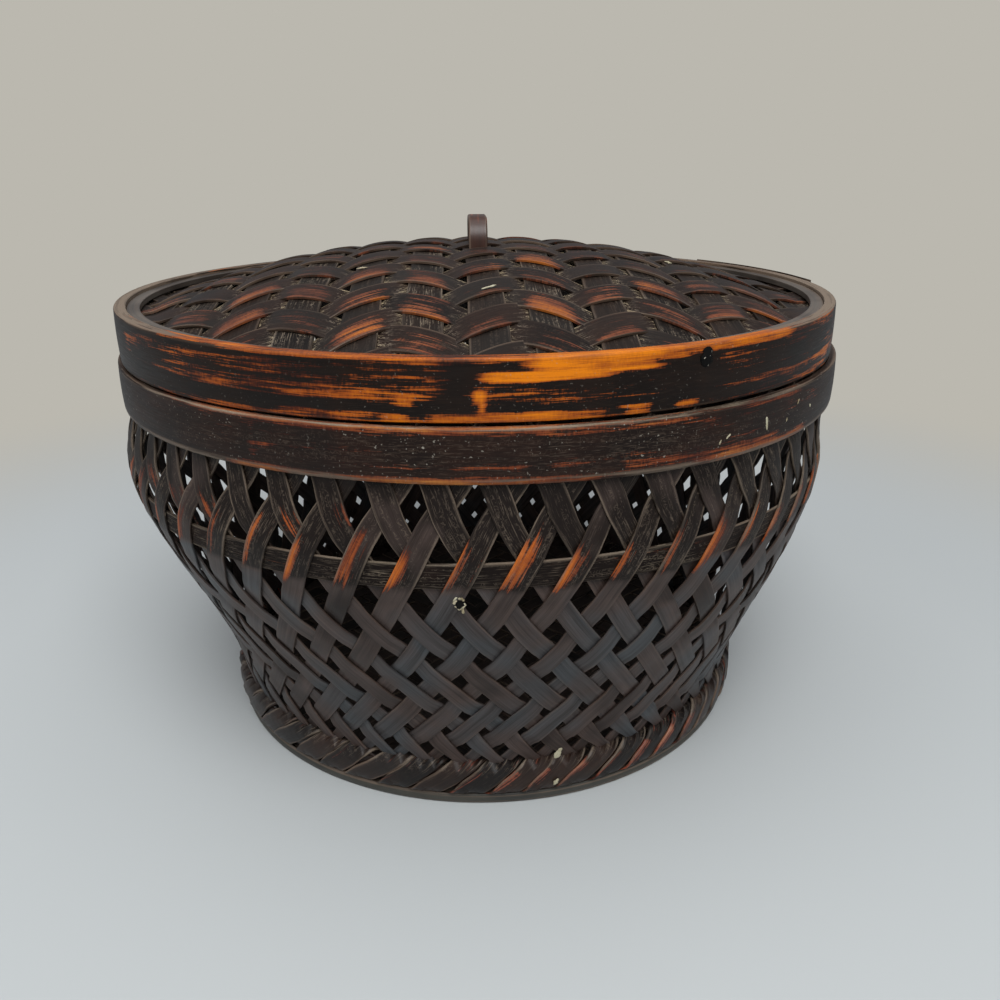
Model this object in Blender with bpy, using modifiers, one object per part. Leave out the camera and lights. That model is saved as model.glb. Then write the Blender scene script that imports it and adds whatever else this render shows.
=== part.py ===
"""A round lidded basket of split bamboo, woven over a stained body with a domed lid.

Run it in Blender 4.5. Lengths are in metres, +Z is up and the front of the basket faces -Y.
The origin is on the floor, under the middle of the foot hoop.
"""

import math

import bmesh
import bpy

MM = 0.001
COLLECTION = "lidded_bamboo_basket"

# Fits
GAP = 0.3 * MM  # between two pieces that touch
LAYER_GAP = 0.6 * MM  # between the two sets of wall strips, which are faceted round the wall
LID_FIT = 0.8 * MM  # radial play of the lid over the collar
SLOT_PLAY = 0.5 * MM  # round each leg of the handle

# Foot
FOOT_HOOP_LIP = 1.9 * MM  # how far the hoop stands out from the wall's foot
FOOT_HOOP_THICKNESS = 3.4 * MM
FOOT_HOOP_HEIGHT = 3.6 * MM
BORDER_HEIGHT = 10.0 * MM  # the rope-like ring of folded strip ends
BORDER_DEPTH = 1.8 * MM
BORDER_LOBE = 0.35 * MM  # how far each folded end swells out
BASE_HEIGHT = 7.0 * MM
BASE_THICKNESS = 2.4 * MM

# Wall
WALL_FOOT_RADIUS = 93.0 * MM  # outer face, as is the next
SHOULDER_RADIUS = 121.2 * MM
MOUTH_INSET = 2.2 * MM  # how far the wall comes in from its shoulder to its mouth
SHOULDER_DROP = 15.8 * MM  # of the shoulder under the rim hoops
RIM_TOP = 130.4 * MM
WALL_CURVE = 1.1  # 1 puts the steepest part of the wall at mid height, more puts it higher
STRIP_WIDTH = 7.2 * MM
STRIP_THICKNESS = 1.2 * MM
STRIP_SPACING = 1.2 * MM  # least opening between neighbours, at the foot
LEAN_TOP = math.radians(27.5)  # from the vertical, above the waist band
LEAN_FOOT = math.radians(41.0)
CROSSING_DROP = 5.0 * MM  # a row of crossings lies this far under the waist band
CROSSING_ANGLE = math.radians(-4.0)  # and one of them this far right of the front
BAND_DROP = 5.0 * MM  # of the band's top edge under the shoulder
BAND_HEIGHT = 7.9 * MM
BAND_THICKNESS = 1.0 * MM

# Rim
RIM_HOOP_HEIGHT = 14.6 * MM
RIM_HOOP_THICKNESS = 3.2 * MM
COLLAR_THICKNESS = 2.6 * MM
COLLAR_RISE = 4.2 * MM  # how far the collar stands up into the lid

# Lid
LID_HOOP_HEIGHT = 16.2 * MM
LID_HOOP_THICKNESS = 3.6 * MM
LAP_THICKNESS = 1.6 * MM  # extra thickness where the hoop's end laps over itself
LAP_END = math.radians(94.0)  # angle of that end, right of the front
LAP_LENGTH = math.radians(35.0)  # from there towards the back
INNER_HOOP_HEIGHT = 2.2 * MM
INNER_HOOP_THICKNESS = 4.0 * MM
LID_RISE = 17.8 * MM  # of the dome over its own edge
DOME_POWER = 2.2  # 2 is a parabola, more is flatter on top and steeper at the hoop
LID_STRIP_WIDTH = 9.6 * MM
LID_STRIP_SPACING = 7.4 * MM  # opening between neighbours of one set
LID_STRIP_THICKNESS = 1.0 * MM
LID_LAYER_GAP = 0.7 * MM
LID_STRIP_ANGLE = math.radians(32.0)  # of the leaning sets, from left-right
LID_CLAMP = 7.8 * MM  # width of the strip ends that the hoops hold
LATTICE_Y = -3.7 * MM  # a crossing of all three sets, nearest the middle
LATTICE_TURN = math.radians(2.0)  # of the front-to-back strips, off the basket's front

# Handle
HANDLE_LENGTH = 25.0 * MM
HANDLE_WIDTH = 7.0 * MM
HANDLE_THICKNESS = 2.0 * MM
HANDLE_RISE = 8.7 * MM  # of its top over the dome
HANDLE_CORNER = 6.0 * MM
HANDLE_FOOT = 8.0 * MM  # length of each end turned out under the weave

# Facets
HOOP_SEGMENTS = 72
WALL_SEGMENTS = 4  # along each strip under the waist band
LID_SEGMENT = 17.0 * MM
RING_STEP = math.radians(7.0)
CORNER_STEPS = 4

# Heights that follow
WALL_BOTTOM = FOOT_HOOP_HEIGHT + GAP
BORDER_TOP = WALL_BOTTOM + BORDER_HEIGHT
RIM_BOTTOM = RIM_TOP - RIM_HOOP_HEIGHT
SHOULDER_HEIGHT = RIM_BOTTOM - SHOULDER_DROP
BAND_TOP = SHOULDER_HEIGHT - BAND_DROP
BAND_BOTTOM = BAND_TOP - BAND_HEIGHT
CROSSING_HEIGHT = BAND_BOTTOM - CROSSING_DROP
LID_BOTTOM = RIM_TOP + GAP
LID_TOP = LID_BOTTOM + LID_HOOP_HEIGHT
DOME_EDGE = LID_TOP - INNER_HOOP_HEIGHT - GAP

# Radii that follow
FOOT_HOOP_RADIUS = WALL_FOOT_RADIUS + FOOT_HOOP_LIP
MOUTH_RADIUS = SHOULDER_RADIUS - MOUTH_INSET
WALL_THICKNESS = 2 * STRIP_THICKNESS + LAYER_GAP
COLLAR_RADIUS = MOUTH_RADIUS - WALL_THICKNESS - GAP
LID_BORE = COLLAR_RADIUS + LID_FIT
LID_RADIUS = LID_BORE + LID_HOOP_THICKNESS
DOME_OUTER = LID_BORE - GAP
DOME_RADIUS = DOME_OUTER - LID_CLAMP

# Patterns that follow
FOOT_PITCH = (STRIP_WIDTH + STRIP_SPACING) / math.cos(LEAN_FOOT)
WALL_STRIPS = int(2 * math.pi * WALL_FOOT_RADIUS / FOOT_PITCH)
WALL_PITCH = 2 * math.pi / WALL_STRIPS
LID_PITCH = LID_STRIP_WIDTH + LID_STRIP_SPACING
LID_LAYER = LID_STRIP_THICKNESS + LID_LAYER_GAP
LATTICE_STEP = 2 * LID_PITCH * math.tan(LID_STRIP_ANGLE)  # between crossings on one column

DARK = (0.020, 0.013, 0.010, 1)
BROWN = (0.045, 0.022, 0.013, 1)
AMBER = (0.300, 0.085, 0.020, 1)
RED = (0.110, 0.030, 0.015, 1)


def clear_scene():
    for obj in list(bpy.data.objects):
        bpy.data.objects.remove(obj, do_unlink=True)


def new_collection(name):
    collection = bpy.data.collections.new(name)
    bpy.context.scene.collection.children.link(collection)
    return collection


def bamboo(name, color, roughness):
    material = bpy.data.materials.new(name)
    material.use_nodes = True
    shader = material.node_tree.nodes["Principled BSDF"]
    shader.inputs["Base Color"].default_value = color
    shader.inputs["Roughness"].default_value = roughness
    shader.inputs["Metallic"].default_value = 0.0
    material.diffuse_color = color
    return material


def add_object(name, mesh, color, roughness=0.45):
    obj = bpy.data.objects.new(name, mesh)
    mesh.materials.append(bamboo(name, color, roughness))
    bpy.data.collections[COLLECTION].objects.link(obj)
    return obj


def finish(builder, name):
    mesh = bpy.data.meshes.new(name)
    builder.to_mesh(mesh)
    builder.free()
    return mesh


def thicken(obj, thickness):
    shell = obj.modifiers.new("thickness", "SOLIDIFY")
    shell.thickness = thickness
    shell.offset = 0.0


def around(radius, angle, z):
    """A point on a level circle. The angle starts at the front, -Y, and grows towards +X."""
    return (radius * math.sin(angle), -radius * math.cos(angle), z)


def evaluated_mesh(obj):
    bpy.context.view_layer.update()
    graph = bpy.context.evaluated_depsgraph_get()
    return bpy.data.meshes.new_from_object(obj.evaluated_get(graph))


def round_off(mesh):
    mesh.shade_smooth()
    mesh.set_sharp_from_angle(angle=math.radians(35))


# Hoops


def hoop(name, outer, thickness, bottom, top, color, flare=0.0):
    """A level band: its section is turned round the axis. Flare is how far its top edge stands out."""
    builder = bmesh.new()
    high = outer + flare
    section = [(high, top), (outer, bottom), (outer - thickness, bottom), (high - thickness, top)]
    corners = [builder.verts.new((radius, 0, z)) for radius, z in section]
    for i, corner in enumerate(corners):
        builder.edges.new((corner, corners[(i + 1) % len(corners)]))
    obj = add_object(name, finish(builder, name), color)
    turn = obj.modifiers.new("turn", "SCREW")
    turn.steps = HOOP_SEGMENTS
    turn.render_steps = HOOP_SEGMENTS
    turn.merge_threshold = 0.01 * MM
    mesh = evaluated_mesh(obj)
    obj.modifiers.remove(turn)
    obj.data = mesh
    round_off(mesh)
    return obj


def lap_outer_face(obj, outer):
    """Swells the outside of a hoop towards the end that laps over it."""
    for vertex in obj.data.vertices:
        x, y, z = vertex.co
        radius = math.hypot(x, y)
        if radius < outer - 0.5 * LID_HOOP_THICKNESS:
            continue
        behind = math.atan2(x, -y) - LAP_END
        if 0 <= behind <= LAP_LENGTH:
            swell = LAP_THICKNESS * (1 - behind / LAP_LENGTH)
            vertex.co.x *= 1 + swell / radius
            vertex.co.y *= 1 + swell / radius


# Wall


def wall_radius(z):
    """Outer face of the wall: an S curve from the foot to the shoulder, then a little in to the mouth."""
    if z > SHOULDER_HEIGHT:
        share = min((z - SHOULDER_HEIGHT) / (RIM_BOTTOM - SHOULDER_HEIGHT), 1.0)
        return SHOULDER_RADIUS + (MOUTH_RADIUS - SHOULDER_RADIUS) * share
    rise = max((z - WALL_BOTTOM) / (SHOULDER_HEIGHT - WALL_BOTTOM), 0.0) ** WALL_CURVE
    return WALL_FOOT_RADIUS + (SHOULDER_RADIUS - WALL_FOOT_RADIUS) * rise * rise * (3 - 2 * rise)


def lean(z):
    """Angle of a wall strip from the vertical: steady above the band, growing towards the foot."""
    share = (z - BORDER_TOP) / (BAND_BOTTOM - BORDER_TOP)
    return LEAN_FOOT + (LEAN_TOP - LEAN_FOOT) * min(max(share, 0.0), 1.0)


def strip_turn(z):
    """How far a strip has gone round the basket at this height, from the named row of crossings."""
    steps = 100
    step = (z - CROSSING_HEIGHT) / steps
    turn = 0.0
    for i in range(steps):
        low = CROSSING_HEIGHT + i * step
        slope = (wall_radius(low + step) - wall_radius(low)) / step
        turn += math.tan(lean(low)) * math.hypot(1, slope) * step / wall_radius(low)
    return turn


def wall_rows():
    """Heights of the wall's rows of points, from the foot up."""
    fall = (BAND_BOTTOM - WALL_BOTTOM) / WALL_SEGMENTS
    rows = [WALL_BOTTOM + i * fall for i in range(WALL_SEGMENTS)]
    return rows + [BAND_BOTTOM, BAND_TOP, SHOULDER_HEIGHT, RIM_BOTTOM, RIM_TOP]


def outer_inset(z):
    """Depth of the middle of a right-leaning strip under the wall's outer face."""
    return 0.5 * STRIP_THICKNESS


def inner_inset(z):
    """The same for a left-leaning strip, which goes behind the waist band."""
    behind_band = BAND_THICKNESS if BAND_BOTTOM <= z <= BAND_TOP else 0.0
    return 1.5 * STRIP_THICKNESS + LAYER_GAP + behind_band


def wall_strips(name, side, inset, color):
    """One set of leaning strips, joined by the ring that the rim clamps. side is 1 for right, -1 for left."""
    builder = bmesh.new()
    rows = []
    for z in wall_rows():
        radius = wall_radius(z) - inset(z)
        half = STRIP_WIDTH / (2 * radius * math.cos(lean(z)))
        row = []
        for i in range(WALL_STRIPS):
            middle = CROSSING_ANGLE + i * WALL_PITCH + side * strip_turn(z)
            row.append(builder.verts.new(around(radius, middle - half, z)))
            row.append(builder.verts.new(around(radius, middle + half, z)))
        rows.append(row)
    for low, high in zip(rows, rows[1:]):
        for i in range(0, len(low), 2):
            a, b, c, d = low[i], low[i + 1], high[i + 1], high[i]
            # The cut runs along the short diagonal, which keeps the strip on the wall's curve.
            faces = ((a, b, d), (b, c, d)) if side > 0 else ((a, b, c), (a, c, d))
            for face in faces:
                builder.faces.new(face)
    low, high = rows[-2:]
    for i in range(1, len(low), 2):
        after = (i + 1) % len(low)
        builder.faces.new((low[i], low[after], high[after], high[i]))
    obj = add_object(name, finish(builder, name), color)
    thicken(obj, STRIP_THICKNESS)
    return obj


def foot_border():
    """Folded strip ends round the foot: a ring of leaning lobes."""
    depth = 0.5 * BORDER_DEPTH
    height = 0.5 * BORDER_HEIGHT
    middle = wall_radius(BORDER_TOP) + GAP + depth + BORDER_LOBE
    bpy.ops.mesh.primitive_torus_add(
        major_segments=2 * WALL_STRIPS,
        minor_segments=6,
        major_radius=middle,
        minor_radius=depth,
    )
    obj = bpy.context.object
    for vertex in obj.data.vertices:
        x, y, z = vertex.co
        angle = math.atan2(x, -y)
        radius = math.hypot(x, y)
        lobe = BORDER_LOBE * math.cos(WALL_STRIPS * angle + 1.2 * z / depth)
        outward = radius + lobe * (radius - middle) / depth
        vertex.co = around(outward, angle, WALL_BOTTOM + height + z * height / depth)
    mesh = obj.data.copy()
    mesh.name = "foot_border"
    bpy.data.objects.remove(obj)
    mesh.shade_smooth()
    return add_object("foot_border", mesh, BROWN)


def base_weave():
    """The woven base, as one plate inside the wall."""
    radius = wall_radius(BASE_HEIGHT) - WALL_THICKNESS - LAYER_GAP
    builder = bmesh.new()
    bmesh.ops.create_cone(
        builder,
        cap_ends=True,
        segments=HOOP_SEGMENTS,
        radius1=radius,
        radius2=radius,
        depth=BASE_THICKNESS,
    )
    bmesh.ops.translate(builder, verts=builder.verts, vec=(0, 0, BASE_HEIGHT + 0.5 * BASE_THICKNESS))
    return add_object("base_weave", finish(builder, "base_weave"), DARK)


# Lid


def dome(x, y):
    """Top of the dome's crests over a point of its plan."""
    share = min(math.hypot(x, y) / DOME_RADIUS, 1.0)
    return DOME_EDGE + LID_RISE * (1 - share**DOME_POWER)


def lid_offsets(step, start):
    """Distances from the axis of the strips of one set that are long enough to hold."""
    reach = DOME_RADIUS - 1.5 * LID_STRIP_WIDTH
    count = int(2 * reach / step) + 2
    found = [start + i * step for i in range(-count, count + 1)]
    return [offset for offset in found if abs(offset) < reach]


def lid_strips(name, direction, step, start, depth, color):
    """One set of parallel strips over the dome, joined by the ring that the hoops hold.

    direction is the angle of the strips from +X. depth is that of their middle under the crests.
    """
    builder = bmesh.new()
    along = (math.cos(direction), math.sin(direction))
    across = (-along[1], along[0])

    def place(run, offset):
        x = run * along[0] + offset * across[0]
        y = run * along[1] + offset * across[1]
        return builder.verts.new((x, y, dome(x, y) - depth))

    inner = []
    for offset in lid_offsets(step, start):
        edges = []
        for edge in (offset - 0.5 * LID_STRIP_WIDTH, offset + 0.5 * LID_STRIP_WIDTH):
            reach = math.sqrt(DOME_RADIUS**2 - edge**2)
            pieces = max(2, round(2 * reach / LID_SEGMENT))
            edges.append((edge, reach, pieces))
        pieces = max(edge[2] for edge in edges)
        rows = []
        for edge, reach, _ in edges:
            rows.append([place(reach * (2 * i / pieces - 1), edge) for i in range(pieces + 1)])
        right, left = rows
        for i in range(pieces):
            builder.faces.new((right[i], right[i + 1], left[i + 1], left[i]))
        inner += [right[0], right[-1], left[0], left[-1]]

    ring = sorted((math.atan2(v.co.y, v.co.x), v) for v in inner)
    filled = []
    for i, (angle, vertex) in enumerate(ring):
        following = ring[(i + 1) % len(ring)][0]
        arc = (following - angle) % (2 * math.pi)
        parts = max(1, round(arc / RING_STEP))
        filled.append((angle, vertex))
        for k in range(1, parts):
            extra = angle + arc * k / parts
            point = (DOME_RADIUS * math.cos(extra), DOME_RADIUS * math.sin(extra), DOME_EDGE - depth)
            filled.append((extra, builder.verts.new(point)))
    outer = []
    for angle, _ in filled:
        point = (DOME_OUTER * math.cos(angle), DOME_OUTER * math.sin(angle), DOME_EDGE - depth)
        outer.append(builder.verts.new(point))
    for i, (_, vertex) in enumerate(filled):
        after = (i + 1) % len(filled)
        builder.faces.new((vertex, outer[i], outer[after], filled[after][1]))
    obj = add_object(name, finish(builder, name), color)
    thicken(obj, LID_STRIP_THICKNESS)
    return obj


def lattice_point():
    """Middle of the handle: the crossing of three strips that lies nearest the axis."""
    return (-LATTICE_Y * math.sin(LATTICE_TURN), LATTICE_Y * math.cos(LATTICE_TURN))


def lid_layers():
    """The three sets of lid strips. Front-to-back ones lie between the two leaning ones."""
    upright = math.radians(90) + LATTICE_TURN
    right = LATTICE_TURN + LID_STRIP_ANGLE
    left = LATTICE_TURN - LID_STRIP_ANGLE
    leaning_step = LATTICE_STEP * math.cos(LID_STRIP_ANGLE)
    leaning_start = LATTICE_Y * math.cos(LID_STRIP_ANGLE)
    depth = 0.5 * LID_STRIP_THICKNESS
    return [
        lid_strips("lid_strips_right", right, leaning_step, leaning_start, depth, BROWN),
        lid_strips("lid_strips_front_to_back", upright, LID_PITCH, 0.0, depth + LID_LAYER, DARK),
        lid_strips("lid_strips_left", left, leaning_step, leaning_start, depth + 2 * LID_LAYER, BROWN),
    ]


# Handle


def handle_path():
    """Middle line of the strap in its own plane, as (run, height), from one turned-out end to the other."""
    x, y = lattice_point()
    crest = dome(x, y)
    top = DOME_EDGE + LID_RISE + HANDLE_RISE - 0.5 * HANDLE_THICKNESS
    weave = 3 * LID_STRIP_THICKNESS + 2 * LID_LAYER_GAP
    under = crest - weave - LID_LAYER_GAP - 0.5 * HANDLE_THICKNESS
    leg = 0.5 * (HANDLE_LENGTH - HANDLE_THICKNESS)
    half = [(leg + HANDLE_FOOT, under), (leg, under)]
    for i in range(CORNER_STEPS + 1):
        turn = 0.5 * math.pi * i / CORNER_STEPS
        run = leg - HANDLE_CORNER * (1 - math.cos(turn))
        half.append((run, top - HANDLE_CORNER * (1 - math.sin(turn))))
    return half + [(-run, z) for run, z in reversed(half)]


def handle_strap():
    """A flat strip bent into a loop, with its legs through the weave and its ends turned out under it."""
    x, y = lattice_point()
    builder = bmesh.new()
    rows = []
    for run, z in handle_path():
        rows.append([builder.verts.new((side * 0.5 * HANDLE_WIDTH, run, z)) for side in (-1, 1)])
    for (a, b), (c, d) in zip(rows, rows[1:]):
        builder.faces.new((a, b, d, c))
    bmesh.ops.recalc_face_normals(builder, faces=builder.faces)
    obj = add_object("handle_strap", finish(builder, "handle_strap"), RED)
    obj.location = (x, y, 0)
    obj.rotation_euler.z = LATTICE_TURN
    thicken(obj, HANDLE_THICKNESS)
    obj.modifiers["thickness"].use_even_offset = True
    return obj


def cut_slots(layers):
    """Cuts the two slots for the strap's legs through every layer of the lid's weave."""
    x, y = lattice_point()
    leg = 0.5 * (HANDLE_LENGTH - HANDLE_THICKNESS)
    for name, side in (("slot_back", 1), ("slot_front", -1)):
        builder = bmesh.new()
        bmesh.ops.create_cube(builder, size=1)
        size = (
            HANDLE_WIDTH + 2 * SLOT_PLAY,
            HANDLE_THICKNESS + 2 * SLOT_PLAY,
            2 * LID_RISE,
        )
        bmesh.ops.scale(builder, verts=builder.verts, vec=size)
        cutter = bpy.data.objects.new(name, finish(builder, name))
        bpy.data.collections["cutters"].objects.link(cutter)
        cutter.location = (
            x - side * leg * math.sin(LATTICE_TURN),
            y + side * leg * math.cos(LATTICE_TURN),
            DOME_EDGE + LID_RISE,
        )
        cutter.rotation_euler.z = LATTICE_TURN
        cutter.hide_render = True
        cutter.display_type = "WIRE"
        for layer in layers:
            cut = layer.modifiers.new(name, "BOOLEAN")
            cut.operation = "DIFFERENCE"
            cut.solver = "EXACT"
            cut.object = cutter


def build_basket():
    hoop("foot_hoop", FOOT_HOOP_RADIUS, FOOT_HOOP_THICKNESS, 0.0, FOOT_HOOP_HEIGHT, BROWN)
    foot_border()
    base_weave()
    wall_strips("wall_strips_right", 1, outer_inset, BROWN)
    wall_strips("wall_strips_left", -1, inner_inset, DARK)
    band_face = wall_radius(BAND_BOTTOM) - STRIP_THICKNESS - 0.5 * LAYER_GAP
    band_flare = wall_radius(BAND_TOP) - wall_radius(BAND_BOTTOM)
    hoop("waist_band", band_face, BAND_THICKNESS, BAND_BOTTOM, BAND_TOP, DARK, band_flare)
    rim_radius = MOUTH_RADIUS + GAP + RIM_HOOP_THICKNESS
    hoop("rim_outer_hoop", rim_radius, RIM_HOOP_THICKNESS, RIM_BOTTOM, RIM_TOP, DARK)
    hoop("rim_inner_collar", COLLAR_RADIUS, COLLAR_THICKNESS, RIM_BOTTOM, RIM_TOP + COLLAR_RISE, DARK)


def build_lid():
    outer = hoop("lid_outer_hoop", LID_RADIUS, LID_HOOP_THICKNESS, LID_BOTTOM, LID_TOP, AMBER)
    lap_outer_face(outer, LID_RADIUS)
    inner = hoop("lid_inner_hoop", DOME_OUTER, INNER_HOOP_THICKNESS, DOME_EDGE + GAP, LID_TOP, DARK)
    layers = lid_layers()
    cut_slots(layers)
    lid = bpy.data.objects.new("lid_axis", None)
    lid.location = (0, 0, LID_BOTTOM)
    bpy.data.collections[COLLECTION].objects.link(lid)
    bpy.context.view_layer.update()
    for piece in [outer, inner, *layers, handle_strap()]:
        piece.parent = lid
        piece.matrix_parent_inverse = lid.matrix_world.inverted()


def main():
    clear_scene()
    new_collection(COLLECTION)
    new_collection("cutters").hide_render = True
    build_basket()
    build_lid()


main()
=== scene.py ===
"""The looks of a round lidded basket of split bamboo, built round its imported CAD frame.

Lengths are in metres, +Z is up and the front of the basket faces -Y. Angles round the basket start at
the front and grow towards +X, which is the right in the main view.
"""

import math

import bmesh
import bpy
import numpy as np
from bpy.props import FloatProperty, FloatVectorProperty, IntProperty, PointerProperty
from mathutils import Matrix, Vector


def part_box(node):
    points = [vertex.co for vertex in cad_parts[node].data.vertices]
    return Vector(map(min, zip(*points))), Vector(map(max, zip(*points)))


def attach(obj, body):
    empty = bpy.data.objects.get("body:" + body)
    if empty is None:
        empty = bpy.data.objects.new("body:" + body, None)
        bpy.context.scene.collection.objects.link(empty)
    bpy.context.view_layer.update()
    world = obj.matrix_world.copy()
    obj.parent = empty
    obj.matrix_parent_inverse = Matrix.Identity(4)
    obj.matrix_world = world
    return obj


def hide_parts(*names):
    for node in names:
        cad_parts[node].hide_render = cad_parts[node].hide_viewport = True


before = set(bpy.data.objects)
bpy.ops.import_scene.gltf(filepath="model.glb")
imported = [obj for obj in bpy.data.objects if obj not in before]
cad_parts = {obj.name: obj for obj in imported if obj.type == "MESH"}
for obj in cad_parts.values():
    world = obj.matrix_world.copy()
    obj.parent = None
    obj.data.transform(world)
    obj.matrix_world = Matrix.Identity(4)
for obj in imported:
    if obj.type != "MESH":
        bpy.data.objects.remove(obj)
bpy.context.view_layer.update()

bl_info = {
    "name": "Lidded Bamboo Basket",
    "version": (1, 0, 0),
    "blender": (4, 5, 0),
    "location": "3D View > Sidebar > Basket",
    "description": "Weaves a lidded basket of split bamboo with lacquered hoops",
    "category": "Add Mesh",
}

MM = 0.001
ROUND = 2 * math.pi

# Heights and radii of the CAD frame. The wall swells out up to a millimetre further, as in the photograph.
WALL_BOTTOM = 3.9 * MM
SHOULDER_HEIGHT = 100.0 * MM
RIM_BOTTOM, RIM_TOP = (corner.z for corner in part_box("rim_outer_hoop"))
BAND_BOTTOM, BAND_TOP = (corner.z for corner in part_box("waist_band"))
FOOT_RADIUS = 93.8 * MM
SHOULDER_RADIUS = 121.6 * MM
MOUTH_RADIUS = 119.0 * MM
WALL_CURVE = 1.05
LEAN_TOP = math.radians(27.5)
LEAN_FOOT = math.radians(41.0)
LEAN_FOOT_HEIGHT = 13.9 * MM
CROSSING_HEIGHT = 82.1 * MM
CROSSING_ANGLE = math.radians(-4.0)
DOME_EDGE = 144.4 * MM
DOME_RISE = 17.8 * MM
DOME_RADIUS = 108.4 * MM
DOME_OUTER = 116.0 * MM
DOME_POWER = 2.2
# The lid's lattice lies a little forward of the middle, and is turned a little
LATTICE_Y = -3.7 * MM
LATTICE_TURN = math.radians(2.0)
GRAIN_FOLD = math.radians(100.0)
# Play between two strips that cross
PLAY = 0.06 * MM

WALL_STEPS = 140
LID_STEPS = 150
BASE_STEPS = 110
FOLD_STEPS = 52
HOOP_STEPS = 540
# Strips of a set on the lid, and columns of crossings, counted from the middle to either side
LID_REACH = 9

# Which set of strips lies outside at each row of crossings, from the foot up: 1 for right-leaning.
# Row 0 is the one just under the waist band.
FIRST_ROW = -10
OUTSIDE = (1, 1, -1, -1, 1, 1, -1, -1, 1, -1, 1, 1, -1, 1, 1)

# What a strip's points carry for its material, besides the place along its grain
MARKS = ("wear", "dust", "edge", "tone")


def linear(paint):
    """Linear RGBA of an sRGB hex colour, or of a colour property, which is linear already."""
    if not isinstance(paint, str):
        return tuple(paint)
    parts = [int(paint[i : i + 2], 16) / 255 for i in (1, 3, 5)]
    return tuple(p / 12.92 if p <= 0.04045 else ((p + 0.055) / 1.055) ** 2.4 for p in parts) + (1.0,)


def length(name, description, size):
    """A property for a length, whose default is given in mm."""
    return FloatProperty(name=name, description=description, default=size * MM, unit="LENGTH", precision=4)


def colour(name, description, code):
    return FloatVectorProperty(
        name=name, description=description, default=linear(code), size=4, subtype="COLOR", min=0, max=1
    )


class BasketWall(bpy.types.PropertyGroup):
    strips: IntProperty(name="Strips", description="Strips in each leaning set", default=52, min=8)
    width: length("Strip width", "Width of a wall strip", 6.4)
    thickness: length("Strip thickness", "Thickness of a split strip", 0.6)
    crown: length("Crown", "How far a strip arches where it crosses over another", 0.08)
    wander: length("Wander", "How far a strip strays from its even course", 0.25)
    band_thickness: length("Waist strip thickness", "Thickness of the level strip", 0.7)


class BasketLid(bpy.types.PropertyGroup):
    pitch: length("Strip pitch", "Spacing of the front-to-back strips", 17.0)
    width: length("Strip width", "Width of a lid strip", 9.8)
    thickness: length("Strip thickness", "Thickness of a lid strip", 0.85)
    swing: length("Swing", "How far a leaning strip rises and falls at the crossings", 1.05)
    lean: FloatProperty(
        name="Lean", description="Angle of the leaning strips", default=math.radians(32), subtype="ANGLE"
    )


class BasketFoot(bpy.types.PropertyGroup):
    wraps: IntProperty(name="Wraps", description="Folded strip ends round the foot", default=52, min=8)
    thickness: length("Wrap thickness", "Thickness of a folded strip end", 0.8)
    base_pitch: length("Base pitch", "Spacing of the strips in the base", 7.0)


class BasketFinish(bpy.types.PropertyGroup):
    dark: colour("Lacquer", "Near-black lacquer", "#170F0B")
    cool: colour("Cool lacquer", "Thin lacquer over the skin side, grey", "#4D5053")
    warm: colour("Warm lacquer", "Thin lacquer gone brown", "#554742")
    rust: colour("Thin lacquer", "Bamboo showing red-brown through thin lacquer", "#5A2717")
    orange: colour("Rubbed bamboo", "Bamboo where the lacquer is rubbed away", "#A3541E")
    amber: colour("Bare bamboo", "Polished bare bamboo", "#E27F0D")
    dust: colour("Dust", "Dust and lifted fibres", "#86796A")
    pale: colour("Broken bamboo", "Fresh broken bamboo", "#CDBFA2")


class BasketStage(bpy.types.PropertyGroup):
    floor: colour("Floor", "Plain floor", "#C0C5C6")
    backdrop: colour("Backdrop", "Plain paper far behind the basket", "#BBB8AF")
    lamp: FloatProperty(name="Lamps", description="Watts that each lamp takes its share of", default=12.0, min=0)


# Shapes of the basket


def ease(low, high, value):
    """0 up to low and 1 from high on, smooth between them. low may be the higher one."""
    share = np.clip((value - low) / (high - low), 0, 1)
    return share * share * (3 - 2 * share)


def wall_radius(z):
    """Outer face of the wall: an S curve up to the shoulder, then a little in to the mouth."""
    rise = np.clip((z - WALL_BOTTOM) / (SHOULDER_HEIGHT - WALL_BOTTOM), 0, 1) ** WALL_CURVE
    share = np.clip((z - SHOULDER_HEIGHT) / (RIM_BOTTOM - SHOULDER_HEIGHT), 0, 1)
    curve = FOOT_RADIUS + (SHOULDER_RADIUS - FOOT_RADIUS) * rise * rise * (3 - 2 * rise)
    return curve + (MOUTH_RADIUS - SHOULDER_RADIUS) * share


def wall_slope(z):
    return (wall_radius(z + 0.5 * MM) - wall_radius(z - 0.5 * MM)) / MM


def wall_lean(z):
    """Angle of a wall strip from the vertical."""
    share = np.clip((z - LEAN_FOOT_HEIGHT) / (BAND_BOTTOM - LEAN_FOOT_HEIGHT), 0, 1)
    return LEAN_FOOT + (LEAN_TOP - LEAN_FOOT) * share


def turn_table():
    """Heights every 0.1 mm, and how far a right-leaning strip has gone round the basket at each."""
    z = np.linspace(0, 134 * MM, 1341)
    rate = np.tan(wall_lean(z)) * np.hypot(1, wall_slope(z)) / wall_radius(z)
    turn = np.concatenate([[0], np.cumsum(0.5 * (rate[1:] + rate[:-1]) * np.diff(z))])
    return z, turn - np.interp(CROSSING_HEIGHT, z, turn)


TURN_HEIGHTS, TURNS = turn_table()


def wall_turn(z):
    return np.interp(z, TURN_HEIGHTS, TURNS)


def drift(z):
    """How far the body leans off its axis at this height, towards +X, as a hand-woven one does."""
    low = 1.3 + 0.5 * ease(14 * MM, 40 * MM, z)
    return (low - 2.8 * ease(45 * MM, 104 * MM, z) + 1.5 * ease(104 * MM, 116 * MM, z)) * MM


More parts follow.
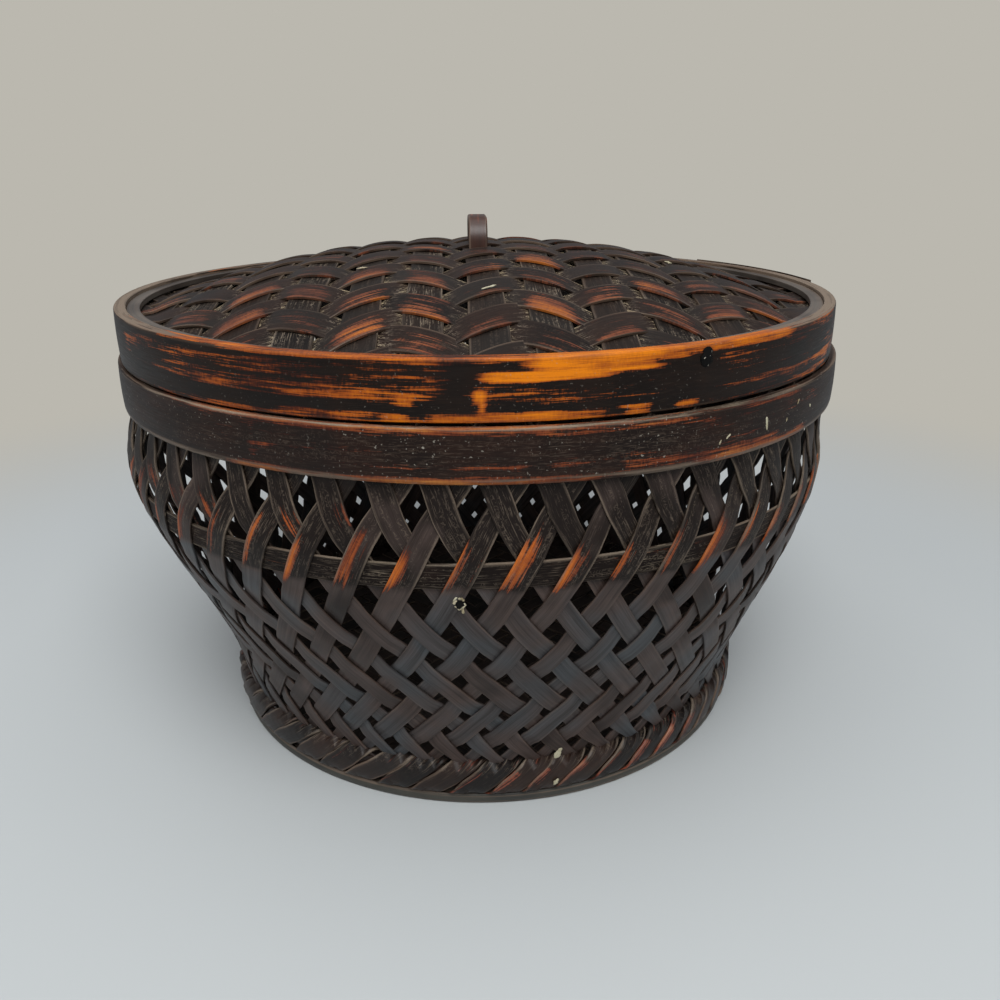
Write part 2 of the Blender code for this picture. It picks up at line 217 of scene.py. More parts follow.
def on_wall(angle, z, depth):
    """Points under the wall's outer face, measured square to it."""
    slope = wall_slope(z)
    steep = np.hypot(1, slope)
    radius = wall_radius(z) - depth / steep
    level = z + depth * slope / steep
    return np.stack([radius * np.sin(angle) + drift(z), -radius * np.cos(angle), level], axis=-1)


def dome(x, y):
    """Height of the dome's crests over its plan."""
    share = np.clip(np.hypot(x, y) / DOME_RADIUS, 0, 1)
    return DOME_EDGE + DOME_RISE * (1 - share**DOME_POWER)


def on_dome(x, y, depth):
    """Points under the dome, measured square to it."""
    step = 0.5 * MM
    slope_x = (dome(x + step, y) - dome(x - step, y)) / (2 * step)
    slope_y = (dome(x, y + step) - dome(x, y - step)) / (2 * step)
    steep = np.sqrt(1 + slope_x**2 + slope_y**2)
    level = dome(x, y) - depth / steep
    return np.stack([x + depth * slope_x / steep, y + depth * slope_y / steep, level], axis=-1)


def round_steps(steps):
    """Angles of the steps of a ring, in a column."""
    return np.linspace(0, ROUND, steps, endpoint=False)[:, None]


def level_ring(radius, height, steps):
    """Points of a ring: radius and height have a row for each step round, or one row for all."""
    radius, height, angle = np.broadcast_arrays(radius, height, round_steps(steps))
    return np.stack([radius * np.sin(angle), -radius * np.cos(angle), height], axis=-1), angle


def round_grain(angle, radius):
    """Length along a ring for its grain. It is folded at both sides, so that the grain closes without a seam."""
    return radius * np.abs((angle - GRAIN_FOLD + math.pi) % ROUND - math.pi)


def wavering(rng, along, size, scale):
    """A smooth random wander along a strip."""
    total = np.zeros_like(along)
    for k in (1.0, 2.3, 4.1):
        total += np.sin(along * k / scale + rng.uniform(0, 6.28)) / k
    return size * total / 1.5


# Meshes


class Weave:
    """Gathers the closed strips of one piece, with the grain and wear that its material reads."""

    def __init__(self):
        self.points = []
        self.faces = []
        self.marks = {key: [] for key in ("grain", *MARKS)}
        self.count = 0

    def add(self, points, along, across, seed, wear=0.0, dust=0.0, edge=0.0, tone=0.5, ring=False):
        """points has a row for each step along the strip, and a column for each corner of its section."""
        rows, corners = shape = points.shape[:2]
        index = self.count + np.arange(rows * corners).reshape(shape)
        after = np.roll(index, -1, axis=1)
        quads = np.stack([index, after, np.roll(after, -1, axis=0), np.roll(index, -1, axis=0)], axis=-1)
        if not ring:
            quads = quads[:-1]
            self.faces += [index[0].tolist(), index[-1][::-1].tolist()]
        self.faces += quads.reshape(-1, 4).tolist()
        self.points.append(points.reshape(-1, 3))
        grain = [np.broadcast_to(a, shape) for a in (along, across, seed * 0.917)]
        self.marks["grain"].append(np.stack(grain, axis=-1).reshape(-1, 3))
        for key, value in zip(MARKS, (wear, dust, edge, tone)):
            self.marks[key].append(np.broadcast_to(value, shape).reshape(-1))
        self.count += rows * corners

    def build(self, name, material):
        mesh = bpy.data.meshes.new(name)
        mesh.from_pydata(np.concatenate(self.points).tolist(), [], self.faces)
        for key, values in self.marks.items():
            kind, field = ("FLOAT_VECTOR", "vector") if key == "grain" else ("FLOAT", "value")
            mark = mesh.attributes.new(key, kind, "POINT")
            mark.data.foreach_set(field, np.concatenate(values).astype(np.float32).ravel())
        builder = bmesh.new()
        builder.from_mesh(mesh)
        bmesh.ops.recalc_face_normals(builder, faces=builder.faces)
        builder.to_mesh(mesh)
        builder.free()
        mesh.shade_smooth()
        mesh.set_sharp_from_angle(angle=math.radians(32))
        mesh.materials.append(material)
        obj = bpy.data.objects.new(name, mesh)
        bpy.context.scene.collection.objects.link(obj)
        return obj


def rows_of(*lists):
    return tuple(np.array([row], float) for row in lists)


def strip_section(width, thickness, edge=0.13 * MM):
    """Corners of a flat strip's section: places across, heights, and marks for its worn edges."""
    w = 0.5 * width
    t = 0.5 * thickness
    # The scuffs of an edge end this far in from it
    face = 0.8 * MM
    across = [edge - w, face - w, 0, w - face, w - edge, w, w, w - edge, 0, edge - w, -w, -w]
    height = [t, t, t, t, t, t - edge, edge - t, -t, -t, -t, edge - t, t - edge]
    return rows_of(across, height, [1, 0, 0, 0, 1, 1, 1, 1, 0, 1, 1, 1])


def band_section(inner, outer, bottom, top, low_edge, high_edge, rows):
    """Corners of a hoop's section from the foot of its outer face: radii, heights, edge marks, shares of wear."""
    face = np.linspace(bottom + low_edge, top - high_edge, rows)
    bulge = 0.2 * MM * (1 - ((face - face.mean()) / (0.5 * np.ptp(face))) ** 2)
    side = outer - bulge.max()
    turn = np.linspace(0, 0.5 * math.pi, 5)[1:]
    bevel = 0.15 * MM
    high = side - high_edge * (1 - np.cos(turn))
    low = side - low_edge * (1 - np.cos(turn[::-1]))
    radius = [*(side + bulge), *high, high[-1] - 0.5 * MM, inner + bevel, inner, inner, inner + bevel, *low]
    height = [*face, *(top - high_edge * (1 - np.sin(turn))), top, top, top - bevel, bottom + bevel, bottom]
    height += [*(bottom + low_edge * (1 - np.sin(turn[::-1])))]
    worn = [1.0] + [0.0] * (rows - 2) + [1.0] * 5 + [0.3, 0.3, 0.3, 0.0, 0.0] + [1.0] * 4
    shown = [1.0] * (rows + 6) + [0.0] * 3 + [1.0] * 4
    return rows_of(radius, height, worn, shown)


# Materials


def node(tree, kind, inputs=None, out=0, ramp=(), **settings):
    """Adds a shader node and returns one of its outputs.

    An input is a value or the socket that it is linked to. ramp lists the places and colours of a colour
    ramp, its two ends first.
    """
    made = tree.nodes.new("ShaderNode" + kind)
    for key, value in settings.items():
        setattr(made, key, value)
    for key, value in (inputs or {}).items():
        if isinstance(value, bpy.types.NodeSocket):
            tree.links.new(value, made.inputs[key])
        else:
            made.inputs[key].default_value = value
    for index, (place, paint) in enumerate(ramp):
        stops = made.color_ramp.elements
        stop = stops[index] if index < 2 else stops.new(place)
        stop.position, stop.color = place, linear(paint)
    return made.outputs[out]


def fibres(tree, grain, long, wide, shift=0.0):
    """Noise with marks of this length and width, in metres, drawn out along the bamboo's fibres."""
    spread = {0: grain, 1: (1 / long, 1 / wide, 1.0), 2: (shift, shift, shift)}
    place = node(tree, "VectorMath", spread, operation="MULTIPLY_ADD")
    return node(tree, "TexNoise", {"Vector": place, "Scale": 1.0, "Detail": 2.0, "Roughness": 0.55})


def split_bamboo(name, lacquer, worn, fibre, roughness, shine=0.5, relief=0.25, specks=0.0, curls=0.0):
    """Split bamboo under a brushed lacquer.

    lacquer is its deep, cool and warm colour, worn the colours from thin lacquer to bare bamboo. fibre is
    the length and width of a fine fibre, in mm. specks is how much grit sticks to it and curls how much
    torn fibre lies crooked on it. The tone of a strip runs from cool at 0 over warm to deep at 1.
    """
    material = bpy.data.materials.new(name)
    material.use_nodes = True
    tree = material.node_tree
    shader = tree.nodes["Principled BSDF"]
    deep, cool, warm = lacquer
    thin, rubbed, bare = worn
    grain = node(tree, "Attribute", out="Vector", attribute_name="grain")
    wear, dust, edge, tone = (node(tree, "Attribute", out="Fac", attribute_name=key) for key in MARKS)
    place = node(tree, "TexCoord", out="Object")
    long, wide = (size * MM for size in fibre)
    fine = fibres(tree, grain, long, wide)
    medium = fibres(tree, grain, 3 * long, 3.3 * wide, 5.0)
    broad = fibres(tree, grain, 8 * long, 10 * wide, 9.0)
    teeth = fibres(tree, grain, 0.6 * MM, 1.6 * MM, 13.0)
    hairs = fibres(tree, grain, 0.45 * long, 0.8 * wide, 17.0)
    # Patches of about 25 mm where the lacquer took unevenly
    clouds = node(tree, "TexNoise", {"Vector": place, "Scale": 42.0, "Detail": 2.0})

    streaks = 0.0
    for noise, share in ((fine, 0.3), (medium, 0.35), (broad, 0.35)):
        streaks = node(tree, "Math", {0: noise, 1: share, 2: streaks}, operation="MULTIPLY_ADD")
    streaks = node(tree, "MapRange", {"Value": streaks, "From Min": 0.37, "From Max": 0.63})

    spread = {"Value": clouds, "From Min": 0.35, "From Max": 0.65, "To Min": -0.35, "To Max": 0.35}
    shift = node(tree, "MapRange", spread)
    tint = node(tree, "Math", {0: tone, 1: shift}, operation="ADD", use_clamp=True)
    body = node(tree, "ValToRGB", {"Fac": tint}, ramp=((0, cool), (1, deep), (0.5, warm)))
    dark = node(tree, "MapRange", {"Value": streaks, "To Min": 0.3, "To Max": 1.0})
    body = node(tree, "Mix", {0: dark, 6: linear(deep), 7: body}, 2, data_type="RGBA")

    # The lacquer is rubbed through where the wear outweighs the streaks, with a ragged chipped edge
    depth = node(tree, "Math", {0: wear, 1: streaks}, operation="SUBTRACT")
    ragged = node(tree, "Math", {0: teeth, 1: 0.5}, operation="SUBTRACT")
    depth = node(tree, "Math", {0: ragged, 1: 0.45, 2: depth}, operation="MULTIPLY_ADD")
    through = node(tree, "MapRange", {"Value": depth, "From Min": 0.06, "From Max": 0.24})
    hue = node(tree, "Math", {0: shift, 1: 0.6, 2: depth}, operation="MULTIPLY_ADD")
    hue = node(tree, "Math", {0: hue, 1: 0.85}, operation="MULTIPLY")
    hue = node(tree, "ValToRGB", {"Fac": hue}, ramp=((0.08, thin), (1, bare), (0.36, rubbed)))
    body = node(tree, "Mix", {0: through, 6: body, 7: hue}, 2, data_type="RGBA")

    # Torn fibre is brown on a smooth face and paler the rougher it is
    frayed = bpy.context.scene.basket_finish.dust
    torn = node(tree, "Math", {0: dust, 1: 0.7}, operation="MULTIPLY")
    torn = node(tree, "ValToRGB", {"Fac": torn}, ramp=((0, "#6E5B4C"), (1, "#C3B08D"), (0.5, frayed)))

    # Pale lines where the corners of a strip are scuffed
    spread = {"Value": medium, "From Min": 0.42, "From Max": 0.6, "To Min": 0.04, "To Max": 0.7}
    scuffed = node(tree, "MapRange", spread)
    scuffed = node(tree, "Math", {0: scuffed, 1: edge}, operation="MULTIPLY", use_clamp=True)
    body = node(tree, "Mix", {0: scuffed, 6: body, 7: torn}, 2, data_type="RGBA")

    # Lifted fibres, about 0.25 mm wide, in patches
    patches = node(tree, "MapRange", {"Value": clouds, "From Min": 0.4, "From Max": 0.6, "To Min": 0.25})
    lifted = node(tree, "MapRange", {"Value": hairs, "From Min": 0.57, "From Max": 0.68})
    lifted = node(tree, "Math", {0: lifted, 1: patches}, operation="MULTIPLY")
    if curls:
        # The contours of a noise are thin crooked lines, which the broader fibres break off short
        tangle = node(tree, "TexNoise", {"Vector": place, "Scale": 620.0, "Detail": 1.0, "Distortion": 0.7})
        tangle = node(tree, "Math", {0: tangle, 1: 0.5}, operation="SUBTRACT")
        tangle = node(tree, "Math", {0: tangle}, operation="ABSOLUTE")
        tangle = node(tree, "MapRange", {"Value": tangle, "From Max": 0.045, "To Min": curls, "To Max": 0.0})
        short = node(tree, "MapRange", {"Value": medium, "From Min": 0.5, "From Max": 0.58})
        lifted = node(tree, "Math", {0: tangle, 1: short, 2: lifted}, operation="MULTIPLY_ADD")
    lifted = node(tree, "Math", {0: lifted, 1: dust}, operation="MULTIPLY", use_clamp=True)
    body = node(tree, "Mix", {0: lifted, 6: body, 7: torn}, 2, data_type="RGBA")
    if specks:
        # Grit under 1 mm across, where a fine noise peaks
        grit = node(tree, "TexNoise", {"Vector": place, "Scale": 1300.0, "Detail": 1.0})
        grit = node(tree, "MapRange", {"Value": grit, "From Min": 0.7, "From Max": 0.75, "To Max": specks})
        grit = node(tree, "Math", {0: grit, 1: patches}, operation="MULTIPLY", use_clamp=True)
        body = node(tree, "Mix", {0: grit, 6: body, 7: linear("#A09A8E")}, 2, data_type="RGBA")

    dull = node(tree, "Math", {0: fine, 1: 0.24, 2: roughness - 0.12}, operation="MULTIPLY_ADD")
    dull = node(tree, "Math", {0: dust, 1: 0.18, 2: dull}, operation="MULTIPLY_ADD", use_clamp=True)
    height = node(tree, "Math", {0: fine, 1: 0.6, 2: medium}, operation="MULTIPLY_ADD")
    bump = node(tree, "Bump", {"Height": height, "Strength": relief, "Distance": 0.15 * MM})
    for key, socket in (("Base Color", body), ("Roughness", dull), ("Normal", bump)):
        tree.links.new(socket, shader.inputs[key])
    shader.inputs["Specular IOR Level"].default_value = shine
    return material


def dress(obj, body, *nodes):
    """Fixes a piece to the body that it moves with, in place of these nodes of the frame."""
    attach(obj, body)
    if nodes:
        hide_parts(*nodes)


# Wall


def outside(rows, reach):
    """1 where the right-leaning strip lies outside and -1 where it lies inside, with the bends between.

    rows counts the crossings along a strip, and reach is half the width of a strip in that count.
    """
    order = np.array(OUTSIDE, float)
    low = np.clip(np.floor(rows), FIRST_ROW, FIRST_ROW + len(order) - 2)
    share = ease(reach, 1 - reach, rows - low)
    at = (low - FIRST_ROW).astype(int)
    return order[at] + (order[at + 1] - order[at]) * share


def weave_depth(settings):
    """Depth of the middle of the weave under the wall's outer face."""
    return settings.thickness + settings.crown + PLAY


def wall_strip(weave, settings, side, index, rng):
    """One strip from the foot to the rim. side is 1 if it leans right as it climbs, and -1 if left."""
    share = np.linspace(0, 1, WALL_STEPS)[:, None]
    # The steps lie closer together low down, where the strip bends most
    middle = WALL_BOTTOM + (RIM_TOP - 0.4 * MM - WALL_BOTTOM) * (0.35 * share**2 + 0.65 * share)
    pitch = ROUND / settings.strips
    width = settings.width * rng.uniform(0.93, 1.05)
    across, height, worn = strip_section(width, settings.thickness)
    course = CROSSING_ANGLE + index * pitch + side * wall_turn(middle)
    # Strips are left wider at the back of the foot, and every end is pared narrower to fold
    behind = -np.cos(course)
    across = across * (1 + 0.1 * ease(0.2, 0.8, behind) * ease(60 * MM, 40 * MM, middle))
    across = across * (1 - 0.42 * ease(26 * MM, 16 * MM, middle) * ease(0.3, -0.1, behind))
    tilt = side * wall_lean(middle)
    z = np.maximum(middle - across * np.sin(tilt) / np.hypot(1, wall_slope(middle)), WALL_BOTTOM)
    stray = rng.uniform(-0.5, 0.5) * settings.wander
    stray = stray + wavering(rng, middle, settings.wander, 14 * MM)
    angle = course + (across * np.cos(tilt) + stray) / wall_radius(middle)

    rows = side * ((angle - CROSSING_ANGLE + side * wall_turn(z)) / pitch - index)
    reach = np.minimum(0.5 * settings.width / (pitch * wall_radius(z) * np.cos(wall_lean(z))), 0.45)
    near = np.abs(rows - np.round(rows)) / reach
    crown = settings.crown * np.cos(0.5 * math.pi * np.clip(near, 0, 1)) ** 2
    band = ease(BAND_BOTTOM - 5 * MM, BAND_BOTTOM, z) * (1 - ease(BAND_TOP, BAND_TOP + 5 * MM, z))
    lift = 0.5 * settings.thickness + PLAY + crown + 0.55 * settings.band_thickness * band
    offset = side * outside(rows, reach) * lift
    points = on_wall(angle, z, weave_depth(settings) - offset - height)

    along = np.cumsum(np.diff(middle, axis=0, prepend=middle[:1]) / np.cos(tilt), axis=0)
    # Over the waist strip the lacquer is thin and the fibres lift; under it they lie smooth
    upper = ease(85.5 * MM, 89.5 * MM, z)
    if side > 0:
        # Rubbed orange from the waist up, most of all along the left half
        split = rng.uniform(-0.16, 0.02)
        left = ease(split + 0.2, split - 0.2, across / width)
        top = rng.uniform(101, 109) * MM
        fade = (82.0 + 1.5 * math.sin(2.4 * index)) * MM
        patch = ease(fade, 91 * MM, z) * (1 - ease(top - 9 * MM, top, z))
        wear = patch * (0.1 + 0.9 * left) * rng.choice([0.7, 0.9, 1.05, 1.25])
    else:
        # About one in three has a small rubbed spot
        spot = rng.uniform(96, 108) * MM
        wear = 0.55 * np.exp(-(((z - spot) / (5 * MM)) ** 2)) * (rng.uniform() < 0.35)
    dust = 0.06 + 0.42 * upper
    tone = rng.uniform(0.1, 0.6) * (1 - upper) + rng.uniform(1.0, 1.3) * upper
    weave.add(points, along, across, 3.1 * index + side, wear, dust, worn * (0.3 + 0.5 * upper), tone)


class BASKET_OT_wall(bpy.types.Operator):
    """Weaves the wall from two sets of leaning strips"""

    bl_idname = "basket.wall"
    bl_label = "Weave the wall"

    def execute(self, context):
        settings = context.scene.basket_wall
        finish = context.scene.basket_finish
        # Split bamboo brushed with thin lacquer: smooth and cool grey low down, brown and orange over the waist
        material = split_bamboo(
            "split bamboo, brushed lacquer", (finish.dark, finish.cool, finish.warm),
            ("#4A2318", "#85401E", "#C96A1E"), (9, 0.26), 0.44, shine=0.2, relief=0.15, curls=0.6,
        )
        rng = np.random.RandomState(7)
        for side, name in ((1, "wall_strips_right"), (-1, "wall_strips_left")):
            weave = Weave()
            for index in range(settings.strips):
                wall_strip(weave, settings, side, index, rng)
            dress(weave.build("woven_" + name, material), "basket", name)
        return {"FINISHED"}


class BASKET_OT_waist(bpy.types.Operator):
    """Threads the level strip round the waist"""

    bl_idname = "basket.waist"
    bl_label = "Thread the waist strip"

    def execute(self, context):
        settings = context.scene.basket_wall
        rng = np.random.RandomState(3)
        # Split bamboo laid on its rough side: dull, fibrous, with pale frayed edges
        material = split_bamboo(
            "split bamboo, rough face, lacquered", ("#150D09", "#211915", "#2A1A13"),
            ("#4A2418", "#7A4020", "#A86430"), (14, 0.3), 0.6, shine=0.15, relief=0.4, curls=0.5,
        )
        across, height, worn = strip_section(BAND_TOP - BAND_BOTTOM - 0.3 * MM, settings.band_thickness)
        turn = round_steps(8 * settings.strips)
        middle = 0.5 * (BAND_BOTTOM + BAND_TOP) + 0.25 * MM * np.sin(3 * turn + 1) + 0.15 * MM * np.sin(8 * turn)
        z = middle + across
        points = on_wall(turn + 0 * z, z, weave_depth(settings) - height)
        weave = Weave()
        dust = 0.6 + 0.2 * np.sin(11 * turn + rng.uniform(0, 6))
        weave.add(points, round_grain(turn, 0.118), across, 1.0, 0.1, dust, worn, 1.0, ring=True)
        dress(weave.build("waist_strip", material), "basket", "waist_band")
        return {"FINISHED"}


# Hoops

# Places where a hoop's lacquer is rubbed through: from and to in degrees round from the front, low and
# high in mm over its bottom edge, and how far it is rubbed.
LID_HOOP_WEAR = (
    (-62, -40, 14.6, 17.0, 0.34), (-46, 50, 15.1, 19.0, 0.80), (-34, 46, 14.7, 19.0, 1.00),
    (-14, -3, 13.9, 17.0, 0.72), (0.2, 9, 9.8, 12.6, 1.35), (6, 15.5, 10.0, 15.0, 1.42),
    (13, 21.8, 11.2, 15.4, 1.20), (6, 24, 13.4, 19.0, 1.45), (21, 26.5, 13.0, 19.0, 1.30),
    (24, 46, 13.6, 19.0, 1.15), (43, 64, 12.6, 17.0, 0.62), (30, 72, 3.0, 13.0, 0.44),
    (-0.5, 1.3, 4.8, 8.2, 1.25), (0.1, 1.2, 2.6, 5.4, 1.10), (-1, 23, 4.4, 9.6, 0.52),
    (1, 8, 6.6, 8.2, 0.60), (12, 20, 6.0, 8.8, 0.58), (-6, 10.5, -2.0, 2.7, 1.20),
    (8, 16, -2.0, 2.3, 1.10), (14, 17.6, -2.0, 1.6, 0.85), (16.8, 21.4, -2.0, 3.0, 1.10),
    (23.8, 28, -2.0, 2.4, 1.12), (27, 40, -1.0, 1.8, 0.66), (35, 62, -0.6, 6.4, 0.60),
    (-25, -10.5, -1.0, 2.9, 0.82), (-11.6, -7.4, -1.0, 2.4, 1.15), (-8.6, -4.4, -1.0, 2.0, 0.74),
    (-40, -22, -1.0, 1.6, 0.78), (-58, -36, -1.0, 1.1, 0.50), (-38, -4, 5.0, 8.0, 0.60),
    (-26, -9, 5.0, 7.6, 0.68), (-46, -22, 11.0, 13.8, 0.70), (-28, -18, 11.4, 13.4, 0.80),
    (-18, -2, 11.0, 13.5, 0.62), (-46, -3, 7.2, 13.6, 0.60), (-58, -30, 6.0, 14.0, 0.52),
    (-9.6, -6.8, 4.2, 6.4, 0.95),
)
RIM_HOOP_WEAR = (
    (-47, 48, 12.4, 15.2, 0.64), (-40, 10, 13.3, 17.0, 0.95), (-32, 50, -2.0, 2.7, 0.86),
    (-8, 16, -2.0, 2.3, 0.98), (8, 38, 4.2, 6.8, 0.58), (16, 42, 2.2, 4.4, 0.62),
    (-28.8, -27.2, 3.0, 13.4, 0.62), (-27.4, -25.2, 6.0, 9.0, 0.50), (-26, 6, 3.0, 6.0, 0.40),
    (-34, -10, 7.6, 12.2, 0.38), (26, 54, 8.6, 12.8, 0.46),
)


def front_degrees(angle):
    return (np.degrees(angle) + 180) % 360 - 180


def rubbed_places(places, degrees, height):
    """How far each point of a hoop is rubbed, from 0 up."""
    wear = np.zeros(np.broadcast_shapes(degrees.shape, height.shape))
    over = height / MM
    for start, end, low, high, depth in places:
        soft = min(2.4, 0.35 * (end - start))
        blur = min(0.7, 0.35 * (high - low))
        inside = ease(start - soft, start + soft, degrees) * (1 - ease(end - soft, end + soft, degrees))
        inside = inside * ease(low - blur, low + blur, over) * (1 - ease(high - blur, high + blur, over))
        wear = np.maximum(wear, depth * inside)
    return wear


def hoop_wear(places, tall, seed):
    """The wear of a hoop: the places listed, and streaks on the sides and back, which the photograph doesn't show.

    tall is how far up the streaks go, in mm. It returns a function of the angle and the height over the bottom.
    """
    rng = np.random.RandomState(seed)
    unseen = []
    for _ in range(26):
        start, low = rng.uniform(60, 280), rng.uniform(0, tall)
        end, high = start + rng.uniform(6, 30), low + rng.uniform(0.6, 2.6)
        unseen.append((start, end, low, high, rng.uniform(0.45, 0.85)))

    def wear(angle, over):
        degrees = front_degrees(angle)
        behind = rubbed_places(unseen, np.degrees(angle), over) * ease(52, 70, np.abs(degrees))
        return np.maximum(rubbed_places(places, degrees, over), behind)

    return wear


def rim_dust(angle, over):
    """The rim hoop is rough with torn fibre at the front, most of all along its top edge."""
    front = ease(54, 34, np.abs(front_degrees(angle) + 2))
    face = ease(2 * MM, 5 * MM, over) * ease(13 * MM, 10 * MM, over)
    low_edge = ease(1.6 * MM, 0.6 * MM, over)
    return 0.12 + front * (0.2 * face + 0.7 * ease(13.7 * MM, 14.3 * MM, over) + 0.4 * low_edge)


def collar_wear(angle, over):
    return 0.3 * ease(14 * MM, 18 * MM, over)


def bent_hoop(
    name, cad_node, body, material, radii, heights, edges, rng, wear=0.0, dust=0.0, rows=24, sway=0.2 * MM,
    chalky=0.0, frayed=1.0,
):
    """A band of bamboo bent to a ring, with the small unevenness of hand work.

    edges are the rounding of its low and its high outer edge. wear and dust are numbers, or functions of the
    angle and the height over the bottom. chalky is how far its top face is scuffed pale away from the front,
    and frayed how far its edges are.
    """
    turn = round_steps(HOOP_STEPS)
    bottom, top = heights
    radius, height, worn, shown = band_section(*radii, bottom, top, *edges, rows)
    uneven = 0.16 * MM * np.sin(2 * turn + rng.uniform(0, 6)) + 0.1 * MM * np.sin(5 * turn + rng.uniform(0, 6))
    share = (height - bottom) / (top - bottom)
    height = height + sway * np.sin(3 * turn + rng.uniform(0, 6)) * (1 - share)
    points, angle = level_ring(radius + uneven * 0.5, height, HOOP_STEPS)
    if body == "basket":
        points[..., 0] += drift(points[..., 2])
    over = height - bottom
    wear, dust = (mark(angle, over) if callable(mark) else mark for mark in (wear, dust))
    # Across the top face the fibres run on from the outer face
    across = over + np.maximum(radii[1] - radius, 0)
    upper_face = ease(0.3 * MM, 0.6 * MM, radii[1] - radius) * ease(0.3 * MM, 0.1 * MM, top - height)
    aside = np.abs(front_degrees(angle))
    scuff = chalky * upper_face * ease(38, 62, aside) * (1 - 0.8 * ease(92, 118, aside))
    # The lacquer is less handled, and darker, at the back
    tone = 0.5 + 0.5 * ease(75, 115, aside)
    weave = Weave()
    weave.add(
        points, round_grain(angle, radii[1]), across, 5.0 * rng.uniform(), wear * shown, dust + 0.02 * scuff,
        frayed * worn + scuff, tone, ring=True,
    )
    dress(weave.build(name, material), body, cad_node)


class BASKET_OT_hoops(bpy.types.Operator):
    """Bends the hoops of the rim and the collar"""

    bl_idname = "basket.hoops"
    bl_label = "Bend the rim hoops"

    def execute(self, context):
        finish = context.scene.basket_finish
        rng = np.random.RandomState(11)
        # Thick bamboo band, lacquered near black and rubbed on its edges: satin with a soft shine
        rim = split_bamboo(
            "bent bamboo, near-black lacquer", ("#110A07", "#1B1512", "#28160E"),
            ("#3E1A11", "#7A3A1C", "#C07A38"), (7, 0.26), 0.45, shine=0.18, specks=0.7, curls=0.6,
        )
        low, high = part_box("rim_outer_hoop")
        bent_hoop(
            "rim_hoop", "rim_outer_hoop", "basket", rim, (high.x - 3.2 * MM, high.x - 0.9 * MM), (low.z, high.z),
            (1.5 * MM, 0.4 * MM), rng, hoop_wear(RIM_HOOP_WEAR, 14, 5), rim_dust,
        )
        # The same band seen inside, never rubbed: dull and even
        inside = split_bamboo(
            "bent bamboo, dull lacquer", ("#1A1512", "#322B28", "#382B25"),
            ("#4A2416", finish.rust, finish.orange), (25, 0.35), 0.5,
        )
        low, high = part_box("rim_inner_collar")
        bent_hoop(
            "collar", "rim_inner_collar", "basket", inside, (high.x - 2.5 * MM, high.x), (low.z, high.z),
            (0.5 * MM, 0.5 * MM), rng, collar_wear, 0.1, 12,
        )
        return {"FINISHED"}


# Foot

# The course of a folded strip end, from the standing hoop, up the flat face and over the fold to behind the
# wall's foot: in mm inward of its outermost place, and in mm over the bottom of the border
FOLD_INWARD = (1.1, 0.5, 0.1, 0.0, 0.0, 0.05, 0.3, 0.9, 1.9, 2.8, 3.2)
FOLD_LEVEL = (-0.75, -0.2, 0.8, 1.9, 3.6, 5.6, 7.4, 8.7, 9.35, 8.9, 7.4)


def fold_course():
    """The course rounded off: length along it from its middle, radius, height, and the direction outward."""
    inward, level = (np.array(places) * MM for places in (FOLD_INWARD, FOLD_LEVEL))
    knots = np.concatenate([[0], np.cumsum(np.hypot(np.diff(inward), np.diff(level)))])
    arc = np.linspace(0, knots[-1], 240)
    soft = np.ones(19) / 19
    r, z = (np.convolve(np.pad(np.interp(arc, knots, v), 9, "edge"), soft, "valid") for v in (-inward, level))
    tall = np.hypot(np.gradient(r), np.gradient(z))
    return arc - 0.5 * knots[-1], r, z, np.gradient(z) / tall, -np.gradient(r) / tall


